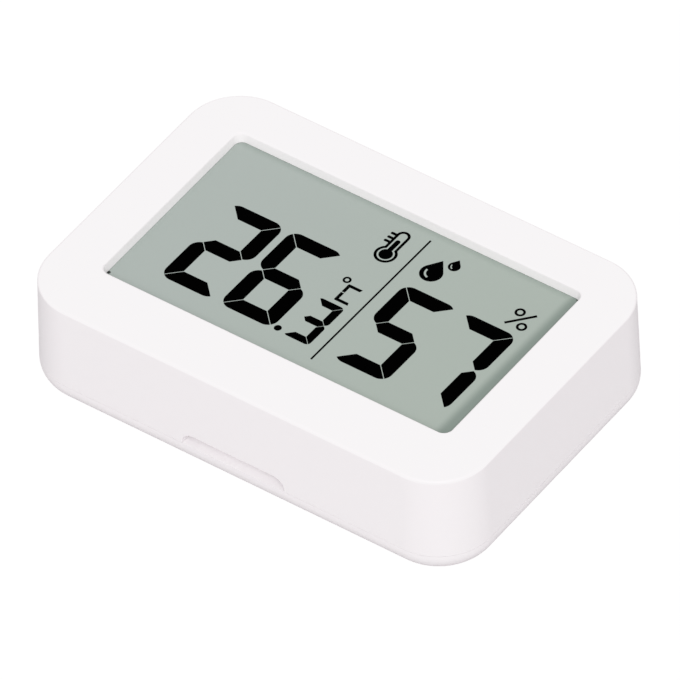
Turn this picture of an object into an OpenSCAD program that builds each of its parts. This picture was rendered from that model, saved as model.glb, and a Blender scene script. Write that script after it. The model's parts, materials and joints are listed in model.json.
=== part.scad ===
// Desktop temperature and humidity sensor with a segment display, lying on its back.
// Millimetres. +X is the reading direction of the display, +Y its upper edge, +Z out of the display.
// The origin is at the middle of the rear face.

/* [Case] */
// Width of the body at its rear edge
case_w = 60.6; // [56:0.2:68]
// Height of the body at its rear edge
case_h = 41.4; // [38:0.2:46]
// Thickness of the body from the rear face to the front face
case_t = 14.5; // [13.2:0.1:17]
// Lean of the side walls towards the front, in degrees
draft = 1.3; // [0.5:0.1:1.6]
// Radius of the upright corners at the rear edge
corner_r = 7.1; // [6.2:0.1:8]
// Rounding of the edge round the front face
face_edge_r = 0.4; // [0.3:0.05:0.8]
// Rounding of the edge round the rear face
back_edge_r = 2.6; // [1.2:0.1:2.7]
// Thickness of the side walls at the front
wall = 1.8; // [1.5:0.05:2.1]
// Thickness of the front face
face_t = 1.2; // [1:0.05:1.4]

/* [Window] */
// Distance from the left and right of the face to the rear edge of the display window
bezel_side = 6.4; // [5.6:0.05:9]
// Distance from the top of the face to the rear edge of the window
bezel_top = 6.1; // [5.2:0.05:9]
// Distance from the bottom of the face to the rear edge of the window
bezel_bottom = 8; // [7:0.05:10]
// Lean of the walls of the window, in degrees
window_draft = 6; // [3:0.5:10]
// Radius of the corners of the window
window_r = 1; // [0.6:0.1:2]
// Chamfer round the front edge of the window
window_edge = 0.15; // [0.1:0.05:0.3]

/* [Rear cover] */
// Thickness of the floor of the cover
cover_t = 1.6; // [1.3:0.1:1.8]
// Height of the seam above the rear face
seam_z = 3; // [2.8:0.1:3.4]
// Hairline gap at the seam
seam_gap = 0.04; // [0.02:0.01:0.1]
// Thickness of the rim that grips inside the case
rim_t = 1; // [0.8:0.1:1.4]
// Clearance between the rim and the case
rim_fit = 0.1; // [0.05:0.01:0.2]
// Distance from the top of the rim to the screw heads
rim_drop = 1; // [0.6:0.1:1.4]

/* [Prying notch] */
// Length of the notch in the lower wall
notch_w = 14; // [10:0.2:16]
// Height of the notch above the seam
notch_h = 1.7; // [1.6:0.1:2.3]
// Depth of the notch into the wall
notch_d = 1.5; // [0.7:0.1:1.6]
// Radius of the upper corners of the notch
notch_r = 1.5; // [0.4:0.1:1.5]

/* [Air vents] */
// Number of vent slots in the upper wall
vent_n = 7; // [3:1:8]
// Width of a vent slot
vent_w = 1; // [0.8:0.1:1.2]
// Height of a vent slot
vent_h = 3.6; // [2.4:0.1:4]
// Distance between vent slots
vent_pitch = 2; // [1.8:0.1:2.4]
// Distance from the rim of the cover to the slots
vent_lift = 0.5; // [0.3:0.1:1]

/* [Display] */
// How far the glass reaches past the window
lcd_margin = 0.8; // [0.6:0.05:1]
// Thickness of each sheet of display glass
glass_t = 0.6; // [0.5:0.05:0.7]
// Thickness of each polarising film
film_t = 0.2; // [0.15:0.05:0.25]
// Distance from the edge of a film to the edge of the glass
film_inset = 0.3; // [0.2:0.05:0.5]
// Width of the contact ledge along the lower edge of the front glass
ledge_w = 2.3; // [2:0.1:2.6]
// Thickness of the foam gasket behind the face
gasket_t = 0.2; // [0.15:0.05:0.3]
// Distance from the edge of the window to the gasket
gasket_inset = 0.15; // [0.1:0.05:0.3]
// Clearance of the sill round the window from the gasket and the film
sill_fit = 0.04; // [0.03:0.01:0.06]
// Wall of the holder round the glass
holder_wall = 1; // [0.8:0.05:1.1]
// Width of the seat under the glass
holder_seat = 2; // [1.6:0.1:3]
// Clearance of the glass and the strip in the holder
holder_fit = 0.1; // [0.05:0.01:0.15]
// Distance from the conductive strip to the edges of the ledge
zebra_inset = 0.25; // [0.2:0.05:0.4]
// Distance from the ends of the conductive strip to the sides of the glass
zebra_end = 2.2; // [1.5:0.1:5]

/* [Board] */
// Thickness of the circuit board
board_t = 1; // [0.8:0.1:1.2]
// Clearance between the board and the case
board_fit = 0.3; // [0.2:0.05:0.5]
// Outside diameter of a screw boss
boss_d = 2.8; // [2.5:0.1:3.2]
// Distance from the middle of the board to each row of bosses
boss_y = 9; // [8:0.1:10]
// Depth that a boss is sunk into the side wall
boss_sink = 0.15; // [0.1:0.05:0.3]
// Clearance of the board and the holder round a screw or a boss
boss_fit = 0.2; // [0.15:0.05:0.25]
// Diameter of a screw shank
screw_d = 1.4; // [1.2:0.1:1.6]
// Diameter of a screw head
screw_head_d = 2.4; // [2.2:0.1:2.5]
// Height of a screw head
screw_head_h = 1; // [0.8:0.1:1.2]
// Depth of a screw in its boss
screw_bite = 3.4; // [2.6:0.1:3.8]
// Clearance of a screw in its boss
screw_fit = 0.05; // [0.03:0.01:0.1]

/* [Coin cell] */
// Diameter of the cell
cell_d = 24.5; // [23:0.1:25]
// Thickness of the cell
cell_t = 5; // [4.4:0.1:5.4]
// Width of the ring between the cap of the cell and the side of its can
cap_ring = 1.65; // [1.4:0.05:3]
// Thickness of the sheet of the can
can_t = 0.3; // [0.2:0.05:0.4]
// Rounding of the edge of the can
can_edge_r = 0.6; // [0.4:0.1:0.9]
// Depth of the turned-in lip of the can below the cap
lip_drop = 0.25; // [0.15:0.05:0.4]
// Clearance between the pieces of the cell
cell_piece_fit = 0.03; // [0.02:0.01:0.05]
// Gap between the cell and the rear cover
cell_gap = 0.3; // [0.2:0.05:0.5]
// Clearance of the cell in its cradle
cell_fit = 0.15; // [0.1:0.05:0.3]
// Wall of the cradle
cradle_wall = 1; // [0.8:0.1:1.2]
// How far the cradle stays above the rear side of the cell
cradle_lift = 1.6; // [1:0.1:2.4]
// Width of the shelf that stops the cell
cradle_shelf = 0.9; // [0.6:0.1:1.2]
// Opening of the cradle towards the side contact, in degrees
cradle_gap = 56; // [48:2:90]
// Diameter of the pins of the cradle in the board
cradle_pin_d = 0.9; // [0.6:0.1:1]
// Clearance of the pins in the board
cradle_pin_fit = 0.1; // [0.05:0.01:0.15]
// Distance from the side of the board to the cradle
cell_edge = 4.5; // [4:0.1:5.5]

/* [Cell contacts] */
// Height of the spring between the cell and the board
contact_h = 0.5; // [0.4:0.05:0.6]
// Thickness of the contact sheet
contact_t = 0.2; // [0.15:0.05:0.3]
// Width of the contacts
contact_w = 6; // [4:0.2:7]
// Clearance between the side contact and the can
contact_fit = 0.05; // [0.03:0.01:0.1]
// Length of the foot of the side contact
contact_foot = 2.2; // [1.6:0.1:2.6]
// How far the upright of the side contact stands off its bulge
contact_bow = 0.9; // [0.6:0.1:1.2]
// Half length of the plateau of the middle contact
plateau = 3.5; // [2.5:0.1:5]
// Length of a ramp of the middle contact
ramp = 1.5; // [1:0.1:2]

/* [Key and switch] */
// Diameter of the key in the rear cover
key_d = 5; // [4:0.1:6]
// Clearance of the key in its hole
key_fit = 0.15; // [0.1:0.05:0.25]
// How far the key is sunk below the rear face
key_sink = 0.2; // [0.1:0.05:0.5]
// Width of the flange round the key
key_flange = 1; // [0.8:0.1:1.4]
// Thickness of the flange
key_flange_t = 0.6; // [0.5:0.1:0.8]
// Distance from the key to the side of the board
key_x_inset = 9.9; // [9:0.1:11]
// Distance from the key to the lower edge of the board
key_y_inset = 10.3; // [9:0.1:12]
// Side of the switch body
switch_w = 6; // [5:0.2:6.4]
// Height of the switch body
switch_h = 3; // [2.6:0.1:3.1]
// Thickness of the switch plate
switch_plate_t = 0.3; // [0.2:0.05:0.35]
// Diameter of the hollow in the switch body
switch_hollow_d = 4.6; // [4.2:0.1:4.8]
// Depth of the hollow in the switch body
switch_hollow_h = 1.6; // [1.4:0.1:1.8]
// Diameter of the plunger
plunger_d = 3.4; // [2.8:0.1:3.6]
// Clearance of the plunger in the plate
plunger_fit = 0.15; // [0.1:0.05:0.2]
// Thickness of the collar of the plunger
plunger_collar_t = 0.6; // [0.5:0.05:0.7]
// Travel of the key and the plunger
key_travel = 0.25; // [0.15:0.05:0.3]
// Gap between the key and the plunger
key_gap = 0.05; // [0.03:0.01:0.1]
// Width of a switch terminal
terminal_w = 0.8; // [0.6:0.1:1]
// Distance from the switch body to the upright of a terminal
terminal_out = 0.5; // [0.4:0.05:0.6]
// Length of the foot of a terminal
terminal_foot = 0.8; // [0.6:0.1:1]
// Wall of the collar that guides the key
collar_wall = 0.8; // [0.6:0.1:1]
// Rise of the snap dome
dome_rise = 0.3; // [0.2:0.05:0.35]
// Thickness of the snap dome
dome_t = 0.1; // [0.06:0.02:0.12]

/* [Components] */
// Side of the controller chip
controller_w = 6; // [5:0.5:7]
// Thickness of the controller chip
controller_t = 0.9; // [0.7:0.1:1.2]
// Side of the display driver chip
driver_w = 7; // [6:0.5:9]
// Thickness of the display driver chip
driver_t = 0.9; // [0.7:0.1:1.2]
// Side of the climate sensor chip
sensor_w = 2.5; // [2:0.1:3]
// Thickness of the climate sensor chip
sensor_t = 0.9; // [0.7:0.1:1.2]
// Distance from the climate sensor to the side of the board
sensor_x_inset = 13.9; // [13:0.1:15]
// Width of the milled slots that shield the climate sensor from the heat of the board
shield_w = 0.8; // [0.6:0.1:1]
// Length of the crystal
crystal_l = 3.2; // [2.5:0.1:3.6]
// Width of the crystal
crystal_w = 2.5; // [2:0.1:3]
// Thickness of the base of the crystal, and the same again for its lid
crystal_t = 0.4; // [0.3:0.05:0.5]
// Length of the antenna block
antenna_l = 5; // [4:0.2:6]
// Width of the antenna block
antenna_w = 2; // [1.5:0.1:2.4]
// Thickness of the antenna block
antenna_t = 1; // [0.8:0.1:1.2]
// Length of a small capacitor or resistor
small_l = 1.6; // [1:0.1:1.8]
// Thickness of a small capacitor
capacitor_t = 0.8; // [0.5:0.05:0.9]
// Thickness of a small resistor
resistor_t = 0.45; // [0.3:0.05:0.6]
// Space between neighbouring components
part_gap = 1.2; // [1:0.05:1.4]

/* [Hidden] */
$fn = 64;
// Overshoot of cutters past the surface that they open
cut = 0.5;
// Steps in a rounded edge
edge_steps = 8;

// Heights of the stack, from the rear face upwards
cell_z = cover_t + cell_gap;
cell_top = cell_z + cell_t;
board_z = cell_top + contact_h;
board_top = board_z + board_t;
rim_top = board_z - screw_head_h - rim_drop;
// Heights of the display, from the front face downwards
face_z = case_t - face_t;
lcd_top = face_z - gasket_t;
front_glass_top = lcd_top - film_t;
front_glass_z = front_glass_top - glass_t;
rear_glass_z = front_glass_z - glass_t;
lcd_z = rear_glass_z - film_t;

// Outline of the front face and of the straight hollow behind it
face_inset = case_t * tan(draft);
face_w = case_w - 2 * face_inset;
face_h = case_h - 2 * face_inset;
hollow_w = face_w - 2 * wall;
hollow_h = face_h - 2 * wall;
hollow_r = corner_r - face_inset - wall;

// Display window and the glass behind it
window_w = face_w - 2 * bezel_side;
window_h = face_h - bezel_top - bezel_bottom;
window_y = (bezel_bottom - bezel_top) / 2;
glass_w = window_w + 2 * lcd_margin;
glass_top_y = window_y + window_h / 2 + lcd_margin;
rear_glass_y = window_y - window_h / 2 - lcd_margin;
front_glass_y = rear_glass_y - ledge_w;
glass_corner_r = 0.3;

// Board, bosses and cell
board_w = hollow_w - 2 * board_fit;
board_h = hollow_h - 2 * board_fit;
board_r = hollow_r - board_fit;
boss_x = hollow_w / 2 - boss_d / 2 + boss_sink;
cell_r = cell_d / 2;
// Radius of the cap of the cell, and of the turned-in lip of the can round it
cap_r = cell_r - cap_ring;
lip_in = (cell_r + cap_r) / 2;
cradle_in = cell_r + cell_fit;
cradle_out = cradle_in + cradle_wall;
cell_x = cell_edge + cradle_out - board_w / 2;
key_x = board_w / 2 - key_x_inset;
key_y = key_y_inset - board_h / 2;
sensor_x = board_w / 2 - sensor_x_inset;
sensor_y = board_h / 2 - sensor_w;
contact_x = cell_x + cell_r + contact_fit + contact_t / 2;
controller_x = contact_x + contact_bow + contact_foot + part_gap + controller_w / 2;
controller_y = key_y + switch_w / 2 + controller_w;
crystal_x = controller_x + controller_w / 2 + part_gap + crystal_l / 2;

// Switch, which hangs under the board with its plunger towards the key
plunger_tip = cover_t + key_flange_t + key_gap;
switch_z = board_z - switch_h;
hollow_top = switch_z + switch_hollow_h;

white = "#f4f2f3";
display_green = "#aeb8b0";
chip_black = "#26272a";
sheet_steel = "#b9bcc0";
board_green = "#1f6b43";
pale_ceramic = "#cdbf9f";

// Points of an arc in a profile, from angle a to angle b
function arc(at, r, a, b) = [for (i = [0:edge_steps])
    let (t = a + (b - a) * i / edge_steps) at + r * [cos(t), sin(t)]];

// Profile of a straight wall of radius r between two heights
function upright(r, low, high) = [[0, low], [r, low], [r, high], [0, high]];

// Distance of the leaning outer wall from the corner axis at height z
function wall_at(z) = corner_r - z * tan(draft);

// Unit normal of one stretch of a path
function stretch_normal(path, i) =
    let (d = path[i + 1] - path[i]) [-d[1], d[0]] / norm(d);

// Mitred offset at one corner of a path
function corner_offset(path, i) =
    let (a = stretch_normal(path, max(i - 1, 0)), b = stretch_normal(path, min(i, len(path) - 2)))
    (a + b) / (1 + a * b);

// Outline of a bent sheet of thickness t along a path
function sheet(path, t) =
    let (last = len(path) - 1)
    concat([for (i = [0:last]) path[i] + corner_offset(path, i) * t / 2],
        [for (i = [last:-1:0]) path[i] - corner_offset(path, i) * t / 2]);

// Solid with a rounded rectangular plan, whose edge profile is swept round the corners and along the sides
module rounded_block(w, h, r, profile) {
    half = [w / 2 - r, h / 2 - r];
    heights = [for (p = profile) p[1]];
    translate([-half[0], -half[1], min(heights)])
        cube([2 * half[0], 2 * half[1], max(heights) - min(heights)]);
    for (i = [0:3]) {
        out = half[i % 2];
        along = half[(i + 1) % 2];
        rotate([0, 0, 90 * i]) {
            translate([out, 0, 0])
                rotate([90, 0, 0])
                linear_extrude(2 * along, center = true)
                polygon(profile);
            translate([out, along, 0])
                rotate_extrude(angle = 90)
                polygon(profile);
        }
    }
}

// Rounded plate between two heights
module plate(w, h, r, low, high) {
    rounded_block(w, h, r, upright(r, low, high));
}

// Plate of the width of the display glass, between two edges in Y
module glass_plate(inset, low_y, high_y, r, low, high) {
    translate([0, (low_y + high_y) / 2, 0])
        plate(glass_w - 2 * inset, high_y - low_y - 2 * inset, r, low, high);
}

// Copies of a child at the four screw places
module at_screws() {
    for (x = [-1, 1], y = [-1, 1])
        translate([x * boss_x, y * boss_y, 0])
            rotate([0, 0, x > 0 ? 0 : 180])
            children();
}

// Upright slot with round ends, cut along Y
module vent_slot() {
    straight = vent_h - vent_w;
    low = rim_top + vent_lift + vent_w / 2;
    depth = 2 * (wall + face_inset) + cut;
    translate([0, case_h / 2, low]) {
        translate([-vent_w / 2, -depth / 2, 0])
            cube([vent_w, depth, straight]);
        for (z = [0, straight])
            translate([0, 0, z])
                rotate([90, 0, 0])
                cylinder(d = vent_w, h = depth, center = true);
    }
}

// Opening under the seam edge of the lower wall, with rounded upper corners
module prying_notch() {
    wall_y = -(case_h / 2 - seam_z * tan(draft));
    translate([0, wall_y - cut, seam_z])
        rotate([-90, 0, 0])
        plate(notch_w, 2 * notch_h, notch_r, 0, notch_d + cut);
}

module front_case() {
    edge_z = case_t - face_edge_r;
    edge_at = [wall_at(edge_z) - face_edge_r / cos(draft), edge_z];
    low = seam_z + seam_gap;
    outside = concat([[0, low], [wall_at(low), low]], arc(edge_at, face_edge_r, draft, 90), [[0, case_t]]);
    sill_z = lcd_top + sill_fit;
    sill_t = gasket_inset - sill_fit;
    lean_h = case_t - window_edge - sill_z;
    inside_edge = [window_r + lean_h * tan(window_draft), sill_z + lean_h];
    opening = concat([[0, sill_z - cut], [window_r, sill_z - cut], [window_r, sill_z], inside_edge],
        [inside_edge + [window_edge + cut, window_edge + cut], [0, case_t + cut]]);
    color(white)
    difference() {
        union() {
            difference() {
                rounded_block(case_w, case_h, corner_r, outside);
                plate(hollow_w, hollow_h, hollow_r, low - cut, face_z);
            }
            at_screws()
                translate([0, 0, board_top])
                cylinder(d = boss_d, h = face_z - board_top + face_t / 2);
            translate([0, window_y, 0])
                plate(window_w + 2 * sill_t, window_h + 2 * sill_t, window_r + sill_t, sill_z, face_z + face_t / 2);
        }
        translate([0, window_y, 0])
            rounded_block(window_w, window_h, window_r, opening);
        at_screws()
            translate([0, 0, board_top - cut])
            cylinder(d = screw_d + 2 * screw_fit, h = screw_bite + 2 * cut);
        prying_notch();
        for (i = [0:vent_n - 1])
            translate([sensor_x + (i - (vent_n - 1) / 2) * vent_pitch, 0, 0])
                vent_slot();
    }
}

module rear_cover() {
    edge_at = [wall_at(back_edge_r) - back_edge_r / cos(draft), back_edge_r];
    outside = concat([[0, 0]], arc(edge_at, back_edge_r, -90, draft),
        [[wall_at(seam_z), seam_z], [0, seam_z]]);
    rim_w = hollow_w - 2 * rim_fit;
    rim_h = hollow_h - 2 * rim_fit;
    rim_r = hollow_r - rim_fit;
    collar_in = key_d / 2 + key_flange + key_fit;
    collar_h = key_flange_t + 2 * key_travel;
    color(white)
    difference() {
        union() {
            difference() {
                union() {
                    rounded_block(case_w, case_h, corner_r, outside);
                    plate(rim_w, rim_h, rim_r, cover_t, rim_top);
                }
                plate(rim_w - 2 * rim_t, rim_h - 2 * rim_t, rim_r - rim_t, cover_t, rim_top + cut);
            }
            translate([key_x, key_y, cover_t / 2])
                cylinder(r = collar_in + collar_wall, h = cover_t / 2 + collar_h);
        }
        translate([key_x, key_y, cover_t])
            cylinder(r = collar_in, h = collar_h + cut);
        translate([key_x, key_y, -cut])
            cylinder(d = key_d + 2 * key_fit, h = cover_t + 2 * cut);
    }
}

module reset_key() {
    color(white)
    translate([key_x, key_y, 0]) {
        translate([0, 0, key_sink])
            cylinder(d = key_d, h = cover_t - key_sink + key_flange_t);
        translate([0, 0, cover_t])
            cylinder(d = key_d + 2 * key_flange, h = key_flange_t);
    }
}

module display_gasket() {
    color(chip_black)
    difference() {
        glass_plate(0, rear_glass_y, glass_top_y, glass_corner_r, lcd_top, face_z);
        translate([0, window_y, 0])
            plate(window_w + 2 * gasket_inset, window_h + 2 * gasket_inset, window_r,
                lcd_top - cut, face_z + cut);
    }
}

module lcd_front_film() {
    color(display_green)
    glass_plate(film_inset, rear_glass_y, glass_top_y, glass_corner_r, front_glass_top, lcd_top);
}

module lcd_front_glass() {
    color("lightcyan", 0.6)
    glass_plate(0, front_glass_y, glass_top_y, glass_corner_r, front_glass_z, front_glass_top);
}

module lcd_rear_glass() {
    color("lightcyan", 0.6)
    glass_plate(0, rear_glass_y, glass_top_y, glass_corner_r, rear_glass_z, front_glass_z);
}

module lcd_rear_film() {
    color("silver")
    glass_plate(film_inset, rear_glass_y, glass_top_y, glass_corner_r, lcd_z, rear_glass_z);
}

// Conductive strip, or its slot when grown by a clearance
module strip_block(grow, low, high) {
    low_y = front_glass_y + zebra_inset;
    high_y = rear_glass_y - zebra_inset;
    long = glass_w - 2 * zebra_end;
    translate([-long / 2 - grow, low_y - grow, low])
        cube([long + 2 * grow, high_y - low_y + 2 * grow, high - low]);
}

module display_holder() {
    outer = -holder_fit - holder_wall;
    color("whitesmoke")
    difference() {
        glass_plate(outer, front_glass_y, glass_top_y, holder_wall, board_top, front_glass_top);
        glass_plate(-holder_fit, front_glass_y, glass_top_y, glass_corner_r, lcd_z, front_glass_top + cut);
        glass_plate(holder_seat, rear_glass_y, glass_top_y, holder_wall, board_top - cut, lcd_z + cut);
        strip_block(holder_fit, board_top - cut, lcd_z + cut);
        at_screws()
            translate([0, 0, board_top - cut])
            cylinder(d = boss_d + 2 * boss_fit, h = case_t - board_top);
    }
}

module zebra_strip() {
    color("dimgray")
    strip_block(0, board_top, front_glass_z);
}

// Milled slots that leave the climate sensor on a tongue with two thin necks
module shield_slots() {
    reach = 2 * sensor_w;
    low = board_h / 2 - reach;
    for (side = [-1, 1])
        translate([sensor_x + side * sensor_w - shield_w / 2, low, board_z - cut])
            cube([shield_w, reach + cut, board_t + 2 * cut]);
    translate([sensor_x - sensor_w / 2, low, board_z - cut])
        cube([sensor_w, shield_w, board_t + 2 * cut]);
}

// Places of the cradle's pins round the cell
module at_pins() {
    translate([cell_x, 0, 0])
        for (a = [90, 180, 270])
            rotate([0, 0, a])
                translate([(cradle_in + cradle_out) / 2, 0, 0])
                children();
}

module circuit_board() {
    slot_d = screw_d + 2 * boss_fit;
    color(board_green)
    difference() {
        plate(board_w, board_h, board_r, board_z, board_top);
        at_screws()
            translate([0, 0, board_z - cut]) {
                cylinder(d = slot_d, h = board_t + 2 * cut);
                translate([0, -slot_d / 2, 0])
                    cube([boss_d, slot_d, board_t + 2 * cut]);
            }
        at_pins()
            translate([0, 0, board_z - cut])
            cylinder(d = cradle_pin_d + 2 * cradle_pin_fit, h = board_t + 2 * cut);
        shield_slots();
    }
}

// Moulded chip with a sloping waist, standing on the plane z = 0
module chip(w, t) {
    slope = t / 6;
    half = w / 2;
    waist = t / 2;
    intersection_for (turn = [0, 90])
        rotate([90, 0, turn])
            linear_extrude(w + cut, center = true)
            polygon([[slope - half, 0], [half - slope, 0], [half, waist], [half - slope, t],
                [slope - half, t], [-half, waist]]);
}

module display_driver_chip() {
    color(chip_black)
    translate([0, window_y, board_top])
        chip(driver_w, driver_t);
}

module controller_chip() {
    color(chip_black)
    translate([controller_x, controller_y, board_z - controller_t])
        chip(controller_w, controller_t);
}

module climate_sensor_chip() {
    port_d = sensor_w / 2.5;
    color(chip_black)
    translate([sensor_x, sensor_y, board_z - sensor_t])
        difference() {
            chip(sensor_w, sensor_t);
            translate([0, 0, -cut])
                cylinder(d = port_d, h = cut + sensor_t / 3);
        }
}

// Child turned over, so that it stands on the rear side of the board
module under_board(x, y) {
    translate([x, y, board_z])
        rotate([180, 0, 0])
        children();
}

module crystal() {
    lid_step = crystal_t / 2;
    color(sheet_steel)
    under_board(crystal_x, controller_y) {
        plate(crystal_l, crystal_w, lid_step, 0, crystal_t);
        plate(crystal_l - 2 * lid_step, crystal_w - 2 * lid_step, lid_step, crystal_t, 2 * crystal_t);
    }
}

module chip_antenna() {
    left = sensor_x + sensor_w + shield_w / 2 + part_gap;
    color(pale_ceramic)
    under_board(left, board_h / 2 - part_gap)
        cube([antenna_l, antenna_w, antenna_t]);
}

// Small two-ended component, centred on its place
module small_part(t) {
    translate([-small_l / 2, -small_l / 4, 0])
        cube([small_l, small_l / 2, t]);
}

module chip_capacitors() {
    row = controller_w / 2 + part_gap;
    color(pale_ceramic)
    for (side = [-1, 1], i = [-1:1])
        under_board(controller_x + i * (small_l + part_gap), controller_y + side * row)
            small_part(capacitor_t);
}

module chip_resistors() {
    x = crystal_x + crystal_l / 2 + part_gap + small_l / 2;
    color(chip_black)
    for (i = [-1:2])
        under_board(x, controller_y + i * (small_l / 2 + part_gap))
            small_part(resistor_t);
}

module switch_base() {
    color(chip_black)
    translate([key_x, key_y, 0])
        difference() {
            translate([-switch_w / 2, -switch_w / 2, switch_z])
                cube([switch_w, switch_w, switch_h]);
            translate([0, 0, switch_z - cut])
                cylinder(d = switch_hollow_d, h = switch_hollow_h + cut);
        }
}

module switch_dome() {
    rim = switch_hollow_d / 2 - plunger_fit;
    rise = dome_rise - dome_t;
    ball_r = (rim * rim + rise * rise) / (2 * rise);
    half_angle = asin(rim / ball_r);
    upper = arc([0, hollow_top + ball_r - rise], ball_r, -90, half_angle - 90);
    lower = [for (i = [len(upper) - 1:-1:0]) upper[i] - [0, dome_t]];
    color(sheet_steel)
    translate([key_x, key_y, 0])
        rotate_extrude()
        polygon(concat(upper, lower));
}

module switch_frame() {
    leg_w = switch_w / 3;
    color(sheet_steel)
    translate([key_x, key_y, 0])
        difference() {
            union() {
                translate([-switch_w / 2, -switch_w / 2, switch_z - switch_plate_t])
                    cube([switch_w, switch_w, switch_plate_t]);
                for (side = [0, 180])
                    rotate([0, 0, side])
                        translate([switch_w / 2, -leg_w / 2, switch_z - switch_plate_t])
                        cube([switch_plate_t, leg_w, switch_h + switch_plate_t]);
            }
            translate([0, 0, switch_z - switch_plate_t - cut])
                cylinder(d = plunger_d + 2 * plunger_fit, h = switch_plate_t + 2 * cut);
        }
}

module switch_terminals() {
    foot_z = board_z - contact_t / 2;
    root_z = board_z - switch_h / 3;
    path = [[0, root_z], [terminal_out, root_z], [terminal_out, foot_z],
        [terminal_out + terminal_foot, foot_z]];
    color(sheet_steel)
    translate([key_x, key_y, 0])
        for (side = [0, 180], x = [-1, 1])
            rotate([0, 0, side])
                translate([x * switch_w / 3, switch_w / 2, 0])
                rotate([90, 0, 90])
                linear_extrude(terminal_w, center = true)
                polygon(sheet(path, contact_t));
}

module switch_plunger() {
    collar_z = switch_z + key_gap;
    collar_top = collar_z + plunger_collar_t;
    dome_z = hollow_top - dome_rise;
    color(chip_black)
    translate([key_x, key_y, 0]) {
        translate([0, 0, plunger_tip])
            cylinder(d = plunger_d, h = collar_top - plunger_tip);
        translate([0, 0, collar_z])
            cylinder(d = switch_hollow_d - 2 * plunger_fit, h = plunger_collar_t);
        translate([0, 0, collar_top])
            cylinder(d = plunger_d / 3, h = dome_z - key_travel - key_gap - collar_top);
    }
}

module battery_cradle() {
    low = cell_z + cradle_lift;
    shelf = cell_r - cradle_shelf;
    color(chip_black) {
        translate([cell_x, 0, 0])
            rotate([0, 0, cradle_gap / 2])
            rotate_extrude(angle = 360 - cradle_gap)
            polygon([[cradle_in, low], [cradle_out, low], [cradle_out, board_z], [shelf, board_z],
                [shelf, cell_top], [cradle_in, cell_top]]);
        at_pins()
            translate([0, 0, cell_top])
            cylinder(d = cradle_pin_d, h = board_top - cell_top);
    }
}

module positive_contact() {
    upright_x = contact_x + contact_bow;
    foot_z = board_z - contact_t / 2;
    middle = cell_z + cell_t / 2;
    quarter = cell_t / 4;
    path = [[upright_x + contact_foot, foot_z], [upright_x, foot_z], [upright_x, middle + quarter],
        [contact_x, middle], [upright_x, middle - quarter]];
    color(sheet_steel)
    rotate([90, 0, 0])
        linear_extrude(contact_w, center = true)
        polygon(sheet(path, contact_t));
}

module negative_contact() {
    foot = plateau + ramp;
    foot_z = board_z - contact_t / 2;
    high_z = cell_top + contact_t / 2;
    path = [[-foot - contact_foot, foot_z], [-foot, foot_z], [-plateau, high_z],
        [plateau, high_z], [foot, foot_z], [foot + contact_foot, foot_z]];
    color(sheet_steel)
    translate([cell_x, 0, 0])
        rotate([90, 0, 0])
        linear_extrude(contact_w, center = true)
        polygon(sheet(path, contact_t));
}

module cell_can() {
    lip_z = cell_top - lip_drop;
    edge_at = [cell_r - can_edge_r, cell_z + can_edge_r];
    color("silver")
    translate([cell_x, 0, 0])
        rotate_extrude()
        polygon(concat([[0, cell_z]], arc(edge_at, can_edge_r, -90, 0),
            arc([edge_at[0], lip_z - can_edge_r], can_edge_r, 0, 90),
            [[lip_in, lip_z], [lip_in, lip_z - can_t], [cell_r - can_t, lip_z - can_t - can_edge_r],
            [cell_r - can_t, cell_z + can_t], [0, cell_z + can_t]]));
}

module cell_seal() {
    fit = cell_piece_fit;
    low = cell_z + can_t + fit;
    lip_z = cell_top - lip_drop;
    color("ivory")
    translate([cell_x, 0, 0])
        rotate_extrude()
        polygon([[cap_r + fit, low], [cell_r - can_t - fit, low],
            [cell_r - can_t - fit, lip_z - can_t - can_edge_r - fit], [lip_in - fit, lip_z - can_t - fit],
            [lip_in - fit, lip_z], [cap_r + fit, lip_z]]);
}

module cell_cap() {
    low = cell_z + can_t + cell_piece_fit;
    edge_at = [cap_r - can_edge_r, cell_top - can_edge_r];
    color("gainsboro")
    translate([cell_x, 0, 0])
        rotate_extrude()
        polygon(concat([[0, low], [cap_r, low]], arc(edge_at, can_edge_r, 0, 90), [[0, cell_top]]));
}

module board_screws() {
    head_r = screw_head_d / 2;
    rounding = screw_head_h / 3;
    edge_at = [head_r - rounding, rounding - screw_head_h];
    cross = [screw_head_d * 0.6, screw_head_d / 6, screw_head_h];
    color(sheet_steel)
    at_screws()
        translate([0, 0, board_z])
        difference() {
            union() {
                rotate_extrude()
                    polygon(concat([[0, 0], [head_r, 0]], arc(edge_at, rounding, 0, -90),
                        [[0, -screw_head_h]]));
                cylinder(d = screw_d, h = board_t + screw_bite);
            }
            for (turn = [0, 90])
                translate([0, 0, -screw_head_h])
                    rotate([0, 0, turn])
                    cube(cross, center = true);
        }
}

front_case();
rear_cover();
reset_key();
display_gasket();
lcd_front_film();
lcd_front_glass();
lcd_rear_glass();
lcd_rear_film();
display_holder();
zebra_strip();
circuit_board();
display_driver_chip();
controller_chip();
climate_sensor_chip();
crystal();
chip_antenna();
chip_capacitors();
chip_resistors();
switch_base();
switch_dome();
switch_frame();
switch_terminals();
switch_plunger();
battery_cradle();
positive_contact();
negative_contact();
cell_can();
cell_seal();
cell_cap();
board_screws();
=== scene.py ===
"""Dressed scene of a small white temperature and humidity sensor that lies on its back.

Pieces are modelled on a bench in millimetres and delivered in metres, in the frame of the CAD.
"""

import json
import logging
import math
from collections.abc import Callable, Iterable
from dataclasses import dataclass, replace
from enum import Enum

import bmesh
import bpy
from mathutils import Matrix, Vector

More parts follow.
